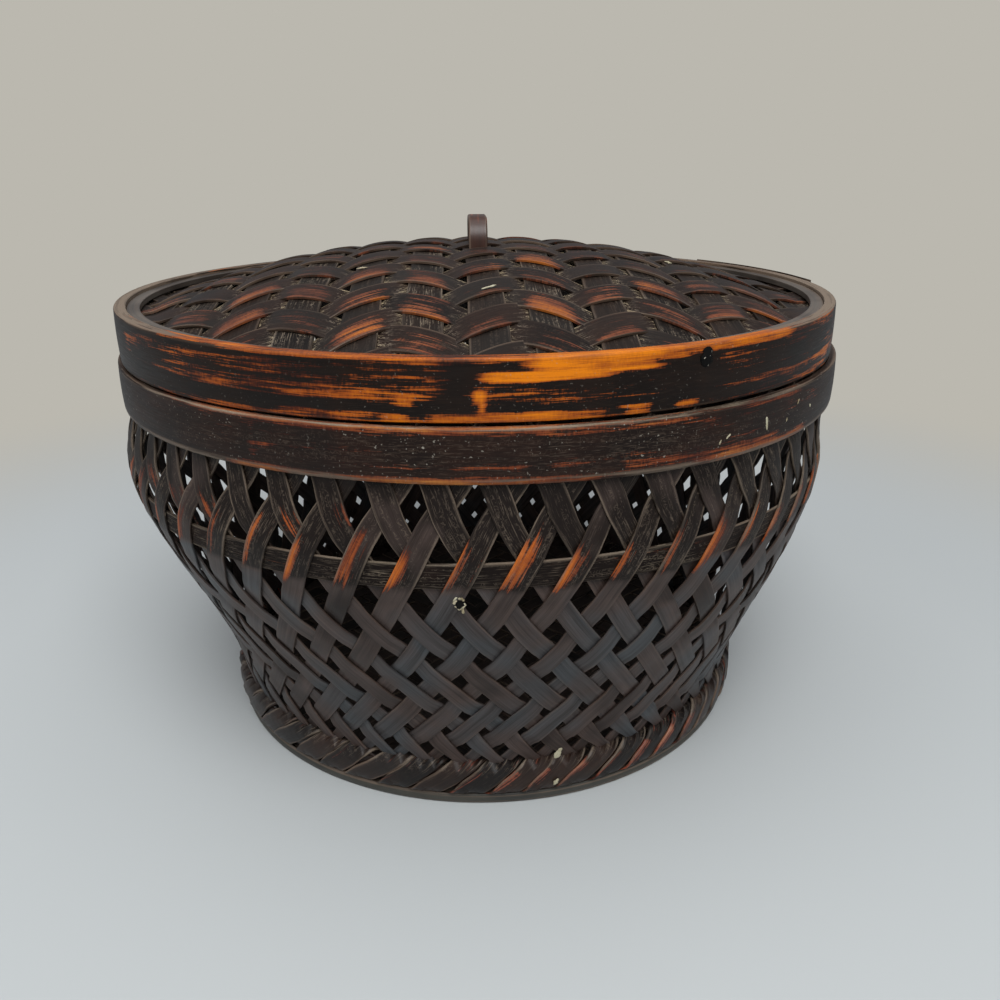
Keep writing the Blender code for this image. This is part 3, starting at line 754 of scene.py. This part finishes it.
class BASKET_OT_foot(bpy.types.Operator):
    """Binds the foot: the standing hoop, the folded border and the woven base"""

    bl_idname = "basket.foot"
    bl_label = "Bind the foot"

    def execute(self, context):
        # Smooth bamboo ring, handled and set down often: greyed, faintly green
        standing = split_bamboo(
            "smooth bamboo ring, greyed", ("#2A2A27", "#42423D", "#45423A"),
            ("#4A3A2C", "#6B5440", "#8A7050"), (25, 0.4), 0.5,
        )
        low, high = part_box("foot_hoop")
        bent_hoop(
            "standing_hoop", "foot_hoop", "basket", standing, (high.x - 3.3 * MM, high.x + 0.6 * MM),
            (low.z, high.z), (0.9 * MM, 0.9 * MM), np.random.RandomState(23), 0.0, 0.12, 10, 0.0,
        )
        self.border(context.scene.basket_foot, high.z + 0.05 * MM)
        self.base(context.scene.basket_foot.base_pitch)
        return {"FINISHED"}

    def border(self, settings, lowest):
        """Flat strip ends folded over the foot, each leaning right as it climbs, its left edge over the next."""
        # Bamboo strip folded while wet: glossy where it bends, and frayed. Along the fold it is painted paler,
        # partly frayed fibre and partly a painted highlight where the bend shines
        material = split_bamboo(
            "folded bamboo strip, lacquered", ("#130D0B", "#2B2522", "#35241C"),
            ("#54281D", "#80412F", "#A8775A"), (7, 0.35), 0.38, shine=0.3, curls=0.5,
        )
        low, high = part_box("foot_border")
        lap = 0.6 * MM
        arc, r, z, out_r, out_z = fold_course()
        core = high.x - settings.thickness - lap + 0.5 * MM
        pitch = ROUND / settings.wraps
        weave = Weave()
        rng = np.random.RandomState(31)
        for index in range(settings.wraps):
            lean = math.radians(55 + rng.uniform(-4, 4))
            width = pitch * core * math.cos(lean) * rng.uniform(1.0, 1.14)
            across, height, worn = strip_section(width, settings.thickness, 0.2 * MM)
            # Both ends run on past the course, so that they are cut off level. They are pared, and lie apart there
            run = np.linspace(arc[0] - 3.5 * MM, arc[-1] + 1.5 * MM, FOLD_STEPS)[:, None]
            across = across * (1 - 0.34 * ease(arc[0] + 3.5 * MM, arc[0] - 1 * MM, run))
            across = across * (1 - 0.22 * ease(arc[-1] - 7 * MM, arc[-1] - 3 * MM, run))
            place = run - across * math.sin(lean)
            angle = index * pitch + (run * math.tan(lean) + across * math.cos(lean)) / core
            angle = angle + rng.uniform(-0.008, 0.008)
            share = ease(arc[0], arc[0] + 2.5 * MM, place)
            fold = ease(5.6 * MM, 9.2 * MM, np.interp(place, arc, z))
            crown = (0.25 + 0.95 * fold) * MM * (1 - (2 * across / width) ** 2)
            lift = height + 0.5 * settings.thickness + (0.5 - across / width) * lap * (0.4 + 0.6 * share) + crown
            radius = core + np.interp(place, arc, r) + lift * np.interp(place, arc, out_r)
            level = low.z + np.interp(place, arc, z) + share * lift * np.interp(place, arc, out_z)
            level = np.maximum(level, lowest)
            points = np.stack([radius * np.sin(angle) + drift(level), -radius * np.cos(angle), level], axis=-1)
            # Along the fold's top the wear and dust marks paint the strip paler: partly frayed fibre, partly a
            # painted highlight where the bend catches the light
            fold = ease(7.4 * MM, 9.0 * MM, level - low.z)
            degrees = front_degrees(index * pitch)
            red = ease(-3, 3, degrees) * (1 - ease(40, 60, degrees)) * ease(-0.1, -0.42, across / width)
            wear = (0.25 + 0.65 * red) * (1 - fold) * ease(-0.1, -0.45, across / width) + 0.3 * fold
            weave.add(points, run, across, 2.3 * index, wear, 0.12 + 0.5 * fold, worn, rng.uniform(0.2, 1.2))
        obj = weave.build("folded_border", material)
        # The core under the folds, which shows only between them
        core_ring = Weave()
        at = round_steps(14).T
        radius, height = core - 1.0 * MM + 0.8 * MM * np.cos(at), low.z + 4.6 * MM + 3.6 * MM * np.sin(at)
        points, angle = level_ring(radius, height, 208)
        points[..., 0] += drift(points[..., 2])
        core_ring.add(points, round_grain(angle, core), at * 2 * MM, 1.7, 0.0, 0.1, 0.0, ring=True)
        inner = core_ring.build("border_core", material)
        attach(inner, "basket")
        dress(obj, "basket", "foot_border")

    def base(self, pitch):
        # The middle stretch of the wall's own strips, on their rough side: dull dark brown
        material = split_bamboo(
            "split bamboo, rough face, stained", ("#191412", "#372E29", "#3E2F28"),
            ("#4A2A1C", "#6B4028", "#8A5A38"), (12, 0.35), 0.6, relief=0.4,
        )
        low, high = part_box("base_weave")
        reach = high.x + 0.4 * MM
        middle = 0.5 * (low.z + high.z)
        count = int(2 * reach / pitch)
        cos, sin = math.cos(math.pi / 4), math.sin(math.pi / 4)
        rng = np.random.RandomState(41)
        weave = Weave()
        for side in (0, 1):
            for index in range(count):
                offset = (index - 0.5 * (count - 1)) * pitch
                across, height, worn = strip_section(pitch * rng.uniform(0.9, 0.97), 0.9 * MM)
                limit = np.sqrt(np.maximum(reach**2 - (offset + across) ** 2, (6 * MM) ** 2))
                run = np.linspace(-1, 1, BASE_STEPS)[:, None] * limit
                rows = run / pitch + 0.5 * (count - 1)
                near = np.floor(rows)
                share = ease(0.38, 0.62, rows - near)
                # Over two and under two. At a crossing both strips count the same step, and lie on opposite sides
                facing = -1 if side else 1
                over = [np.where(facing * (near + k - index) % 4 < 2, 1.0, -1.0) for k in (0, 1)]
                lift = (over[0] + (over[1] - over[0]) * share) * 0.55 * MM * facing
                x, y = run + 0 * across, offset + across + 0 * run
                if side:
                    x, y = y, x
                points = np.stack([x * cos - y * sin, x * sin + y * cos, middle + lift + height], axis=-1)
                points[..., 0] += drift(middle)
                weave.add(points, run, across, 1.9 * index + 70 * side, 0.05, 0.3, worn, rng.uniform())
        dress(weave.build("woven_base", material), "basket", "base_weave")


# Lid


def lid_strip(weave, settings, direction, offset, swing, rng, number):
    """One strip over the dome. swing is 1 if it lies on top on the middle column, -1 if below, 0 if between."""
    width = settings.width * rng.uniform(0.93, 1.05)
    across, height, worn = strip_section(width, settings.thickness)
    limit = np.sqrt(np.maximum(DOME_OUTER**2 - (offset + across) ** 2, (8 * MM) ** 2))
    share = np.linspace(-1, 1, LID_STEPS)[:, None]
    run = share * limit
    cos, sin = math.cos(direction), math.sin(direction)
    # Strips are pressed closer together at the front
    across = across * (1 + 0.12 * ease(-55 * MM, -90 * MM, run * sin + offset * cos))
    side = offset + across
    stray = wavering(rng, run, 0.5 * MM, 25 * MM) * (1 - share**4)
    x = run * cos - (side + stray) * sin
    y = run * sin + (side + stray) * cos
    column = (x * math.cos(LATTICE_TURN) + y * math.sin(LATTICE_TURN)) / settings.pitch
    # Strips rest flat on each other, so that the crowns are broad and the climbs between them short
    wave = swing * np.sin(1.15 * np.cos(math.pi * column)) / math.sin(1.15)
    rise = wave * settings.swing
    points = on_dome(x, y, settings.swing + 0.5 * settings.thickness - rise - height)
    if swing:
        # Each crown is rubbed by a share of its own, and those at the front the most
        crowns = range(-LID_REACH, LID_REACH + 1)
        luck = np.array([np.random.RandomState(97 + number * 31 + k).uniform(0.45, 1.1) for k in crowns])
        luck = luck[np.clip(np.round(column).astype(int) + LID_REACH, 0, 2 * LID_REACH)]
        front = 0.34 + 0.66 * ease(35 * MM, -75 * MM, y)
        low_side = ease(0.5, -0.35, across / width * (1 if abs(direction) < 1.2 else -1))
        wear = ease(-0.2, 0.9, wave) * luck * front * (0.45 + 0.55 * low_side)
        dust = 0.12 + 1.1 * ease(0.3, -0.6, wave)
    else:
        wear = 0.0
        # Dust gathers where the leaning strips cross over
        dust = 0.2 + 0.6 * (0.5 + 0.5 * np.cos(2 * math.pi * (y - LATTICE_Y) / (settings.pitch * 1.25))) ** 2
    weave.add(points, run, across, 2.7 * number, wear, dust, 0.8 * worn, rng.uniform())


class BASKET_OT_lid_weave(bpy.types.Operator):
    """Weaves the lid's dome from three sets of strips"""

    bl_idname = "basket.lid_weave"
    bl_label = "Weave the lid"

    def execute(self, context):
        settings = context.scene.basket_lid
        finish = context.scene.basket_finish
        # Broad split strips, skin up: satin lacquer rubbed orange on every crown
        crowned = split_bamboo(
            "split bamboo, lacquer rubbed on the crowns", ("#130B08", "#231D19", "#2C1C14"),
            ("#4C291D", "#74402A", "#C4701E"), (8, 0.26), 0.42, shine=0.18, curls=0.8,
        )
        # The straight strips between them keep their lacquer: dark grey with fine fibre lines
        straight = split_bamboo(
            "split bamboo, dark lacquer", ("#110C09", "#221E1B", "#281C15"),
            ("#4A2A1C", finish.rust, finish.orange), (16, 0.26), 0.45, shine=0.18, curls=0.8,
        )
        rng = np.random.RandomState(19)
        step = 2 * settings.pitch * math.tan(settings.lean) * math.cos(settings.lean)
        start = LATTICE_Y * math.cos(settings.lean)
        sets = (
            ("lid_strips_right", LATTICE_TURN + settings.lean, step, start, 1, crowned, 0),
            ("lid_strips_front_to_back", LATTICE_TURN + 0.5 * math.pi, settings.pitch, 0.0, 0, straight, 100),
            ("lid_strips_left", LATTICE_TURN - settings.lean, step, start, -1, crowned, 200),
        )
        for name, direction, spacing, first, swing, material, seed in sets:
            weave = Weave()
            for k in range(-LID_REACH, LID_REACH + 1):
                if abs(first + k * spacing) < DOME_OUTER - 1.2 * settings.width:
                    lid_strip(weave, settings, direction, first + k * spacing, swing, rng, seed + k + 20)
            dress(weave.build("woven_" + name, material), "lid", name)
        return {"FINISHED"}


class BASKET_OT_lid_hoops(bpy.types.Operator):
    """Bends the lid's outer and inner hoops"""

    bl_idname = "basket.lid_hoops"
    bl_label = "Bend the lid hoops"

    def execute(self, context):
        rng = np.random.RandomState(17)
        # Thick bamboo band, lacquered black and rubbed through to polished amber along its fibres
        rubbed = split_bamboo(
            "bent bamboo, black lacquer rubbed through", ("#0D0806", "#171412", "#20140D"),
            ("#3E1A0F", "#9A4A15", context.scene.basket_finish.amber), (7, 0.26), 0.4, shine=0.16, specks=0.25,
        )
        low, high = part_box("lid_inner_hoop")
        outer = high.x + 0.12 * MM
        bottom, top = (corner.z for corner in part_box("lid_outer_hoop"))
        bent_hoop(
            "lid_hoop", "lid_outer_hoop", "lid", rubbed, (outer, outer + 3.8 * MM), (bottom + 0.4 * MM, top),
            (0.4 * MM, 0.6 * MM), rng, hoop_wear(LID_HOOP_WEAR, 15, 9), 0.06, 34, chalky=18.0, frayed=0.3,
        )
        self.lap(rubbed, outer + 3.75 * MM, bottom + 0.7 * MM, top + 0.35 * MM)
        # Inner band, its lacquer gone grey from handling: satin, even
        grey = split_bamboo(
            "bent bamboo, lacquer gone grey", ("#37312C", "#645F58", "#645C54"),
            ("#4E3A2E", "#6A4A36", "#8A6040"), (30, 0.4), 0.42, relief=0.1,
        )
        bent_hoop(
            "lid_inner_ring", "lid_inner_hoop", "lid", grey, (high.x - 4.0 * MM, high.x + 0.05 * MM),
            (low.z - 0.7 * MM, high.z - 1.0 * MM), (0.2 * MM, 0.12 * MM), rng, rows=6, sway=0.0,
        )
        return {"FINISHED"}

    def lap(self, material, inner, bottom, top):
        """The hoop's own end, pared thin and laid over its start."""
        share = np.linspace(0, 1, 90)[:, None]
        angle = math.radians(94) + share * math.radians(34)
        thick = 1.7 * MM * (1 - share) + 0.25 * MM
        radius, height, edge = rows_of(
            [0, 1, 1, 1, 1, 1, 0, 0], [0, 0.03, 0.2, 0.5, 0.8, 0.97, 1, 0.5], [1, 1, 0, 0, 0, 1, 1, 0]
        )
        r = inner - 0.05 * MM + radius * thick
        z = bottom + height * (top - bottom)
        points = np.stack([r * np.sin(angle), -r * np.cos(angle), z + 0 * r], axis=-1)
        weave = Weave()
        weave.add(points, angle * inner, z - bottom, 8.1, 0.4, 0.15, edge)
        obj = weave.build("lid_hoop_lap", material)
        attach(obj, "lid")


class BASKET_OT_handle(bpy.types.Operator):
    """Bends the strap loop on the lid"""

    bl_idname = "basket.handle"
    bl_label = "Bend the handle"

    def execute(self, context):
        # Flat bamboo strap bent over a flame: red-brown where fingers polish it
        material = split_bamboo(
            "bamboo strap, flame bent, handled", ("#231813", "#3D2D26", "#4A2E24"),
            ("#5E3122", "#84462F", "#A8694A"), (10, 0.4), 0.4,
        )
        low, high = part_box("handle_strap")
        half = 11.5 * MM
        thickness = 1.9 * MM
        top = high.z - 0.5 * thickness
        under = low.z + 0.5 * thickness
        foot = 0.5 * (high.y - low.y)
        corner = 6.5 * MM
        route = [(foot, under), (half + 3 * MM, under), (half, under + 3 * MM), (half, top - corner)]
        route += [
            (half - corner * (1 - math.cos(t)), top - corner * (1 - math.sin(t)))
            for t in np.linspace(0.1, 0.5 * math.pi, 10)
        ]
        route = [Vector(place) for place in route]
        route += [Vector((-p.x, p.y)) for p in reversed(route)]
        path = []
        for a, b in zip(route, route[1:]):
            count = max(1, int((b - a).length / (1.0 * MM)))
            path += [a.lerp(b, k / count) for k in range(count)]
        path = np.array([tuple(p) for p in path + [route[-1]]])
        tangent = np.gradient(path, axis=0)
        tangent /= np.linalg.norm(tangent, axis=1)[:, None]
        normal = np.stack([-tangent[:, 1], tangent[:, 0]], axis=-1)
        across, height, worn = strip_section(6.2 * MM, thickness, 0.45 * MM)
        run = path[:, :1] - normal[:, :1] * height
        z = path[:, 1:] - normal[:, 1:] * height
        points = np.stack([across + 0 * run, run, z], axis=-1)
        weave = Weave()
        along = np.concatenate([[0], np.cumsum(np.linalg.norm(np.diff(path, axis=0), axis=1))])[:, None]
        wear = 0.5 * ease(DOME_EDGE + DOME_RISE + 3 * MM, high.z, z)
        weave.add(points, along, across, 4.4, wear, 0.1, worn)
        obj = weave.build("strap_loop", material)
        centre = (-LATTICE_Y * math.sin(LATTICE_TURN), LATTICE_Y * math.cos(LATTICE_TURN), 0)
        obj.data.transform(Matrix.Translation(centre) @ Matrix.Rotation(LATTICE_TURN, 4, "Z"))
        dress(obj, "lid", "handle_strap")
        return {"FINISHED"}


# Chips

# The hole's angle round from the front in degrees, and its height in mm
TORN_HOLE = (-2.3, 83.4)
# Splinters on the rim hoop: angle round from the front in degrees, height, length and width in mm, and the
# turn of its length from the vertical towards +X
RIM_CHIPS = (
    (39.2, 123.0, 4.0, 1.1, -12), (31.9, 122.3, 2.0, 0.7, 50), (30.6, 121.2, 1.5, 0.6, 25),
    (46.8, 126.0, 1.6, 0.5, 30), (44.0, 122.0, 1.2, 0.4, 15), (51.0, 123.0, 1.3, 0.5, -30),
)
# Splinters on the lid, the second a pale line along a strip's edge that also paints a highlight there: place in mm,
# directions of the length and outward, and size in mm
LID_CHIPS_AND_HIGHLIGHT = (
    ((63.5, -18.5, 156.4), (1.0, 0, -0.3), (0.3, 0, 1.0), (2.6, 0.9, 0.7)),
    ((3.6, -69.3, 155.9), (0.85, 0.5, 0.15), (0.0, -0.2, 1.0), (5.0, 0.5, 0.5)),
    ((-34.7, -44.1, 158.3), (0.95, 0.3, 0.1), (0.0, -0.2, 1.0), (3.4, 0.5, 0.5)),
)


def lump(weave, centre, along, out, size, seed):
    """An irregular chip: a closed pebble with this length, width and height in mm."""
    rng = np.random.RandomState(seed)
    long, wide, tall = (side * MM for side in size)
    share = np.linspace(-1, 1, 11)[:, None]
    turn = round_steps(12).T
    reach = np.sqrt(1 - 0.97 * share**2) * (1 + 0.22 * np.sin(2 * turn + rng.uniform(0, 6, (11, 1))))
    reach = reach * (1 + 0.15 * np.sin(4 * share + rng.uniform(0, 6)))
    spread = np.broadcast_arrays(share * long / 2, reach * np.cos(turn) * wide / 2, reach * np.sin(turn) * tall / 2)
    points = sum(s[..., None] * np.array(v) for s, v in zip(spread, (along, np.cross(out, along), out)))
    weave.add(points + np.array(centre), share * long, reach * np.sin(turn) * wide, seed, tone=rng.uniform())


def round_about(angle, lean):
    """Directions at an angle round the basket: along a chip turned this far from the vertical, and outward."""
    sideways = np.array([math.cos(angle), math.sin(angle), 0])
    out = np.array([math.sin(angle), -math.cos(angle), 0])
    return math.sin(lean) * sideways + math.cos(lean) * np.array([0, 0, 1.0]), out


def wall_chip(weave, angle, z, over, lean, size, seed):
    """A chip on the wall. Its height, and how far it stands over the wall's face, are in mm."""
    along, out = round_about(angle, lean)
    lump(weave, on_wall(angle, z * MM, -over * MM), along, out, size, seed)


def hoop_chip(weave, degrees, z, radius, aside, lean, size, seed):
    """A chip on a hoop of this radius, whose middle lies this far aside of the axis. z is in mm."""
    along, out = round_about(math.radians(degrees), math.radians(lean))
    lump(weave, out * radius + (aside, 0, z * MM), along, out, size, seed)


class BASKET_OT_chips(bpy.types.Operator):
    """Lays the broken places: pale splinters, one of which also paints a highlight on the lid, a torn hole drawn as
    a black patch of painted shade, and a dried drip
    """

    bl_idname = "basket.chips"
    bl_label = "Break a few places"

    def execute(self, context):
        finish = context.scene.basket_finish
        # Bamboo broken after it was lacquered: pale, dry and matte. On the lid one such pale line also paints a
        # highlight along a strip's edge
        pale = split_bamboo(
            "bamboo, fresh break, and painted highlight", ("#8F8264", finish.pale, "#CFCDB4"), (finish.pale,) * 3, (2, 0.2), 0.7
        )
        # Lacquer that ran and dried in a bead. The same black paints the shade inside a torn hole, as a patch laid
        # on the strip
        black = split_bamboo(
            "dried lacquer drip, and painted shade in a hole", ("#050404", "#0A0909", "#0C0B0A"), (finish.dark,) * 3, (3, 1), 0.75,
            shine=0.15, specks=3.0,
        )
        wall = Weave()
        wall_chip(wall, math.radians(13.6), 16.6, 0.2, math.radians(28), (4.4, 1.9, 0.5), 0)
        self.torn_hole_with_painted_shade(wall, black)
        dress(wall.build("wall_splinters", pale), "basket")
        rim = Weave()
        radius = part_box("rim_outer_hoop")[1].x - 0.9 * MM
        for seed, (degrees, z, long, wide, lean) in enumerate(RIM_CHIPS, 20):
            hoop_chip(rim, degrees, z, radius, 0.5 * MM, lean, (long, wide, 0.3), seed)
        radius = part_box("foot_border")[1].x + 0.9 * MM
        hoop_chip(rim, 12.9, 7.6, radius, drift(0.0), 35, (2.6, 1.3, 0.8), 31)
        dress(rim.build("hoop_splinters", pale), "basket")
        lid = Weave()
        for seed, (place, along, out, size) in enumerate(LID_CHIPS_AND_HIGHLIGHT, 51):
            lump(lid, np.array(place) * MM, along, out, size, seed)
        dress(lid.build("lid_splinters_and_highlight", pale), "lid")
        drip = Weave()
        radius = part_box("lid_inner_hoop")[1].x + 3.9 * MM
        hoop_chip(drip, 28.3, 143.6, radius, 0, 8, (5.2, 3.8, 0.9), 61)
        dress(drip.build("lacquer_drip", black), "lid")
        return {"FINISHED"}

    def torn_hole_with_painted_shade(self, splinters, black):
        """One strip is holed: a black patch on the strip paints the shade inside the hole, with a ragged rim of
        broken fibre round it.
        """
        degrees, height = TORN_HOLE
        painted_hole_shade = Weave()
        # A black patch over the strip paints the shade where the hole opens into the basket
        wall_chip(painted_hole_shade, math.radians(degrees), height, 0.18, math.radians(10), (3.2, 2.3, 0.25), 41)
        dress(painted_hole_shade.build("torn_hole_with_painted_shade", black), "basket")
        rng = np.random.RandomState(43)
        for k in range(12):
            turn = ROUND * (k + rng.uniform(-0.4, 0.4)) / 12
            reach = rng.uniform(0.82, 1.15)
            angle = math.radians(degrees + 0.62 * reach * math.cos(turn))
            level = height + 1.65 * reach * math.sin(turn)
            lean = -turn + rng.uniform(-0.7, 0.7)
            size = (rng.uniform(0.7, 1.7), rng.uniform(0.3, 0.8), 0.4)
            wall_chip(splinters, angle, level, 0.2, lean, size, 60 + k)
        wall_chip(splinters, math.radians(degrees + 0.3), height - 2.5, 0.25, -0.15, (1.7, 0.8, 0.5), 75)


# Stage

# Lamps: name, place, size and share of the power
LAMPS = (
    ("key", (0.1, -0.78, 1.1), 0.8, 1.05),
    ("top", (0.0, -0.05, 1.3), 1.1, 0.4),
    ("left", (-1.0, -0.3, 0.8), 1.0, 0.18),
)
LAMP_AIM = Vector((0, 0, 0.08))


class BASKET_OT_stage(bpy.types.Operator):
    """Sets the floor, the lamps and the camera"""

    bl_idname = "basket.stage"
    bl_label = "Set the stage"

    def execute(self, context):
        scene = context.scene
        scene.view_settings.view_transform = "Standard"
        self.floor(scene, scene.basket_stage)
        self.lamps(scene, scene.basket_stage)
        self.camera(scene)
        return {"FINISHED"}

    def floor(self, scene, stage):
        builder = bmesh.new()
        bmesh.ops.create_grid(builder, x_segments=8, y_segments=8, size=3.0)
        mesh = bpy.data.meshes.new("floor")
        builder.to_mesh(mesh)
        builder.free()
        floor = bpy.data.objects.new("floor", mesh)
        scene.collection.objects.link(floor)
        # Painted board: matte, pale and even. Far from the basket it passes into the backdrop's paper
        material = bpy.data.materials.new("painted board, matte")
        material.use_nodes = True
        tree = material.node_tree
        shader = tree.nodes["Principled BSDF"]
        shader.inputs["Base Color"].default_value = stage.floor
        shader.inputs["Roughness"].default_value = 0.6
        place = node(tree, "TexCoord", out="Object")
        away = node(tree, "VectorMath", {0: place}, out="Value", operation="LENGTH")
        spread = {"Value": away, "From Min": 0.24, "From Max": 0.5}
        far = node(tree, "MapRange", spread, interpolation_type="SMOOTHSTEP")
        seen = node(tree, "LightPath", out="Is Camera Ray")
        far = node(tree, "Math", {0: far, 1: seen}, operation="MULTIPLY")
        paper = node(tree, "Emission", {"Color": stage.backdrop, "Strength": 1.0})
        mixed = node(tree, "MixShader", {0: far, 1: shader.outputs[0], 2: paper})
        tree.links.new(mixed, tree.nodes["Material Output"].inputs["Surface"])
        mesh.materials.append(material)

    def lamps(self, scene, stage):
        world = bpy.data.worlds.new("studio")
        world.use_nodes = True
        tree = world.node_tree
        light = tree.nodes["Background"]
        light.inputs["Color"].default_value = linear("#E4E6EA")
        light.inputs["Strength"].default_value = 0.32
        seen = node(tree, "LightPath", out="Is Camera Ray")
        paper = node(tree, "Background", {"Color": stage.backdrop, "Strength": 1.0})
        mixed = node(tree, "MixShader", {0: seen, 1: light.outputs[0], 2: paper})
        tree.links.new(mixed, tree.nodes["World Output"].inputs["Surface"])
        scene.world = world
        for name, place, size, share in LAMPS:
            light = bpy.data.lights.new(name, "AREA")
            light.size = size
            light.energy = stage.lamp * share
            lamp = bpy.data.objects.new(name, light)
            lamp.location = place
            lamp.rotation_euler = (LAMP_AIM - Vector(place)).to_track_quat("-Z", "Y").to_euler()
            scene.collection.objects.link(lamp)

    def camera(self, scene):
        """The photograph's view: a phone held close in front, a little above the lid."""
        pitch, yaw, roll = 0.37, 0.0179, -0.0046
        forward = Vector((math.sin(yaw) * math.cos(pitch), math.cos(yaw) * math.cos(pitch), -math.sin(pitch)))
        right = Vector((math.cos(yaw), -math.sin(yaw), 0))
        up = right.cross(forward)
        across = right * math.cos(roll) + up * math.sin(roll)
        upward = up * math.cos(roll) - right * math.sin(roll)
        data = bpy.data.cameras.new("photo")
        data.sensor_width = 36.0
        data.lens = 32.4
        camera = bpy.data.objects.new("photo", data)
        turned = Matrix((across, upward, -forward)).transposed().to_4x4()
        camera.matrix_world = Matrix.Translation((0.0018, -0.3245, 0.1912)) @ turned
        scene.collection.objects.link(camera)
        scene.camera = camera


class BASKET_PT_sidebar(bpy.types.Panel):
    """Lists the pieces of the basket and their sizes"""

    bl_idname = "BASKET_PT_sidebar"
    bl_label = "Lidded bamboo basket"
    bl_space_type = "VIEW_3D"
    bl_region_type = "UI"
    bl_category = "Basket"

    def draw(self, context):
        for name, _, operators in LAYOUT:
            box = self.layout.box()
            settings = getattr(context.scene, name)
            for key in settings.bl_rna.properties.keys():
                if key not in ("rna_type", "name"):
                    box.prop(settings, key)
            for operator in operators:
                box.operator(operator.bl_idname)


LAYOUT = (
    ("basket_wall", BasketWall, (BASKET_OT_wall, BASKET_OT_waist, BASKET_OT_hoops)),
    ("basket_foot", BasketFoot, (BASKET_OT_foot,)),
    ("basket_lid", BasketLid, (BASKET_OT_lid_weave, BASKET_OT_lid_hoops, BASKET_OT_handle)),
    ("basket_finish", BasketFinish, (BASKET_OT_chips,)),
    ("basket_stage", BasketStage, (BASKET_OT_stage,)),
)


def register():
    for name, group, operators in LAYOUT:
        for kind in (group, *operators):
            bpy.utils.register_class(kind)
        setattr(bpy.types.Scene, name, PointerProperty(type=group))
    bpy.utils.register_class(BASKET_PT_sidebar)


def unregister():
    bpy.utils.unregister_class(BASKET_PT_sidebar)
    for name, group, operators in reversed(LAYOUT):
        delattr(bpy.types.Scene, name)
        for kind in (*reversed(operators), group):
            bpy.utils.unregister_class(kind)


def main():
    register()
    bpy.ops.basket.wall()
    bpy.ops.basket.waist()
    bpy.ops.basket.hoops()
    bpy.ops.basket.foot()
    bpy.ops.basket.lid_weave()
    bpy.ops.basket.lid_hoops()
    bpy.ops.basket.handle()
    bpy.ops.basket.chips()
    bpy.ops.basket.stage()


if __name__ == "__main__":
    main()
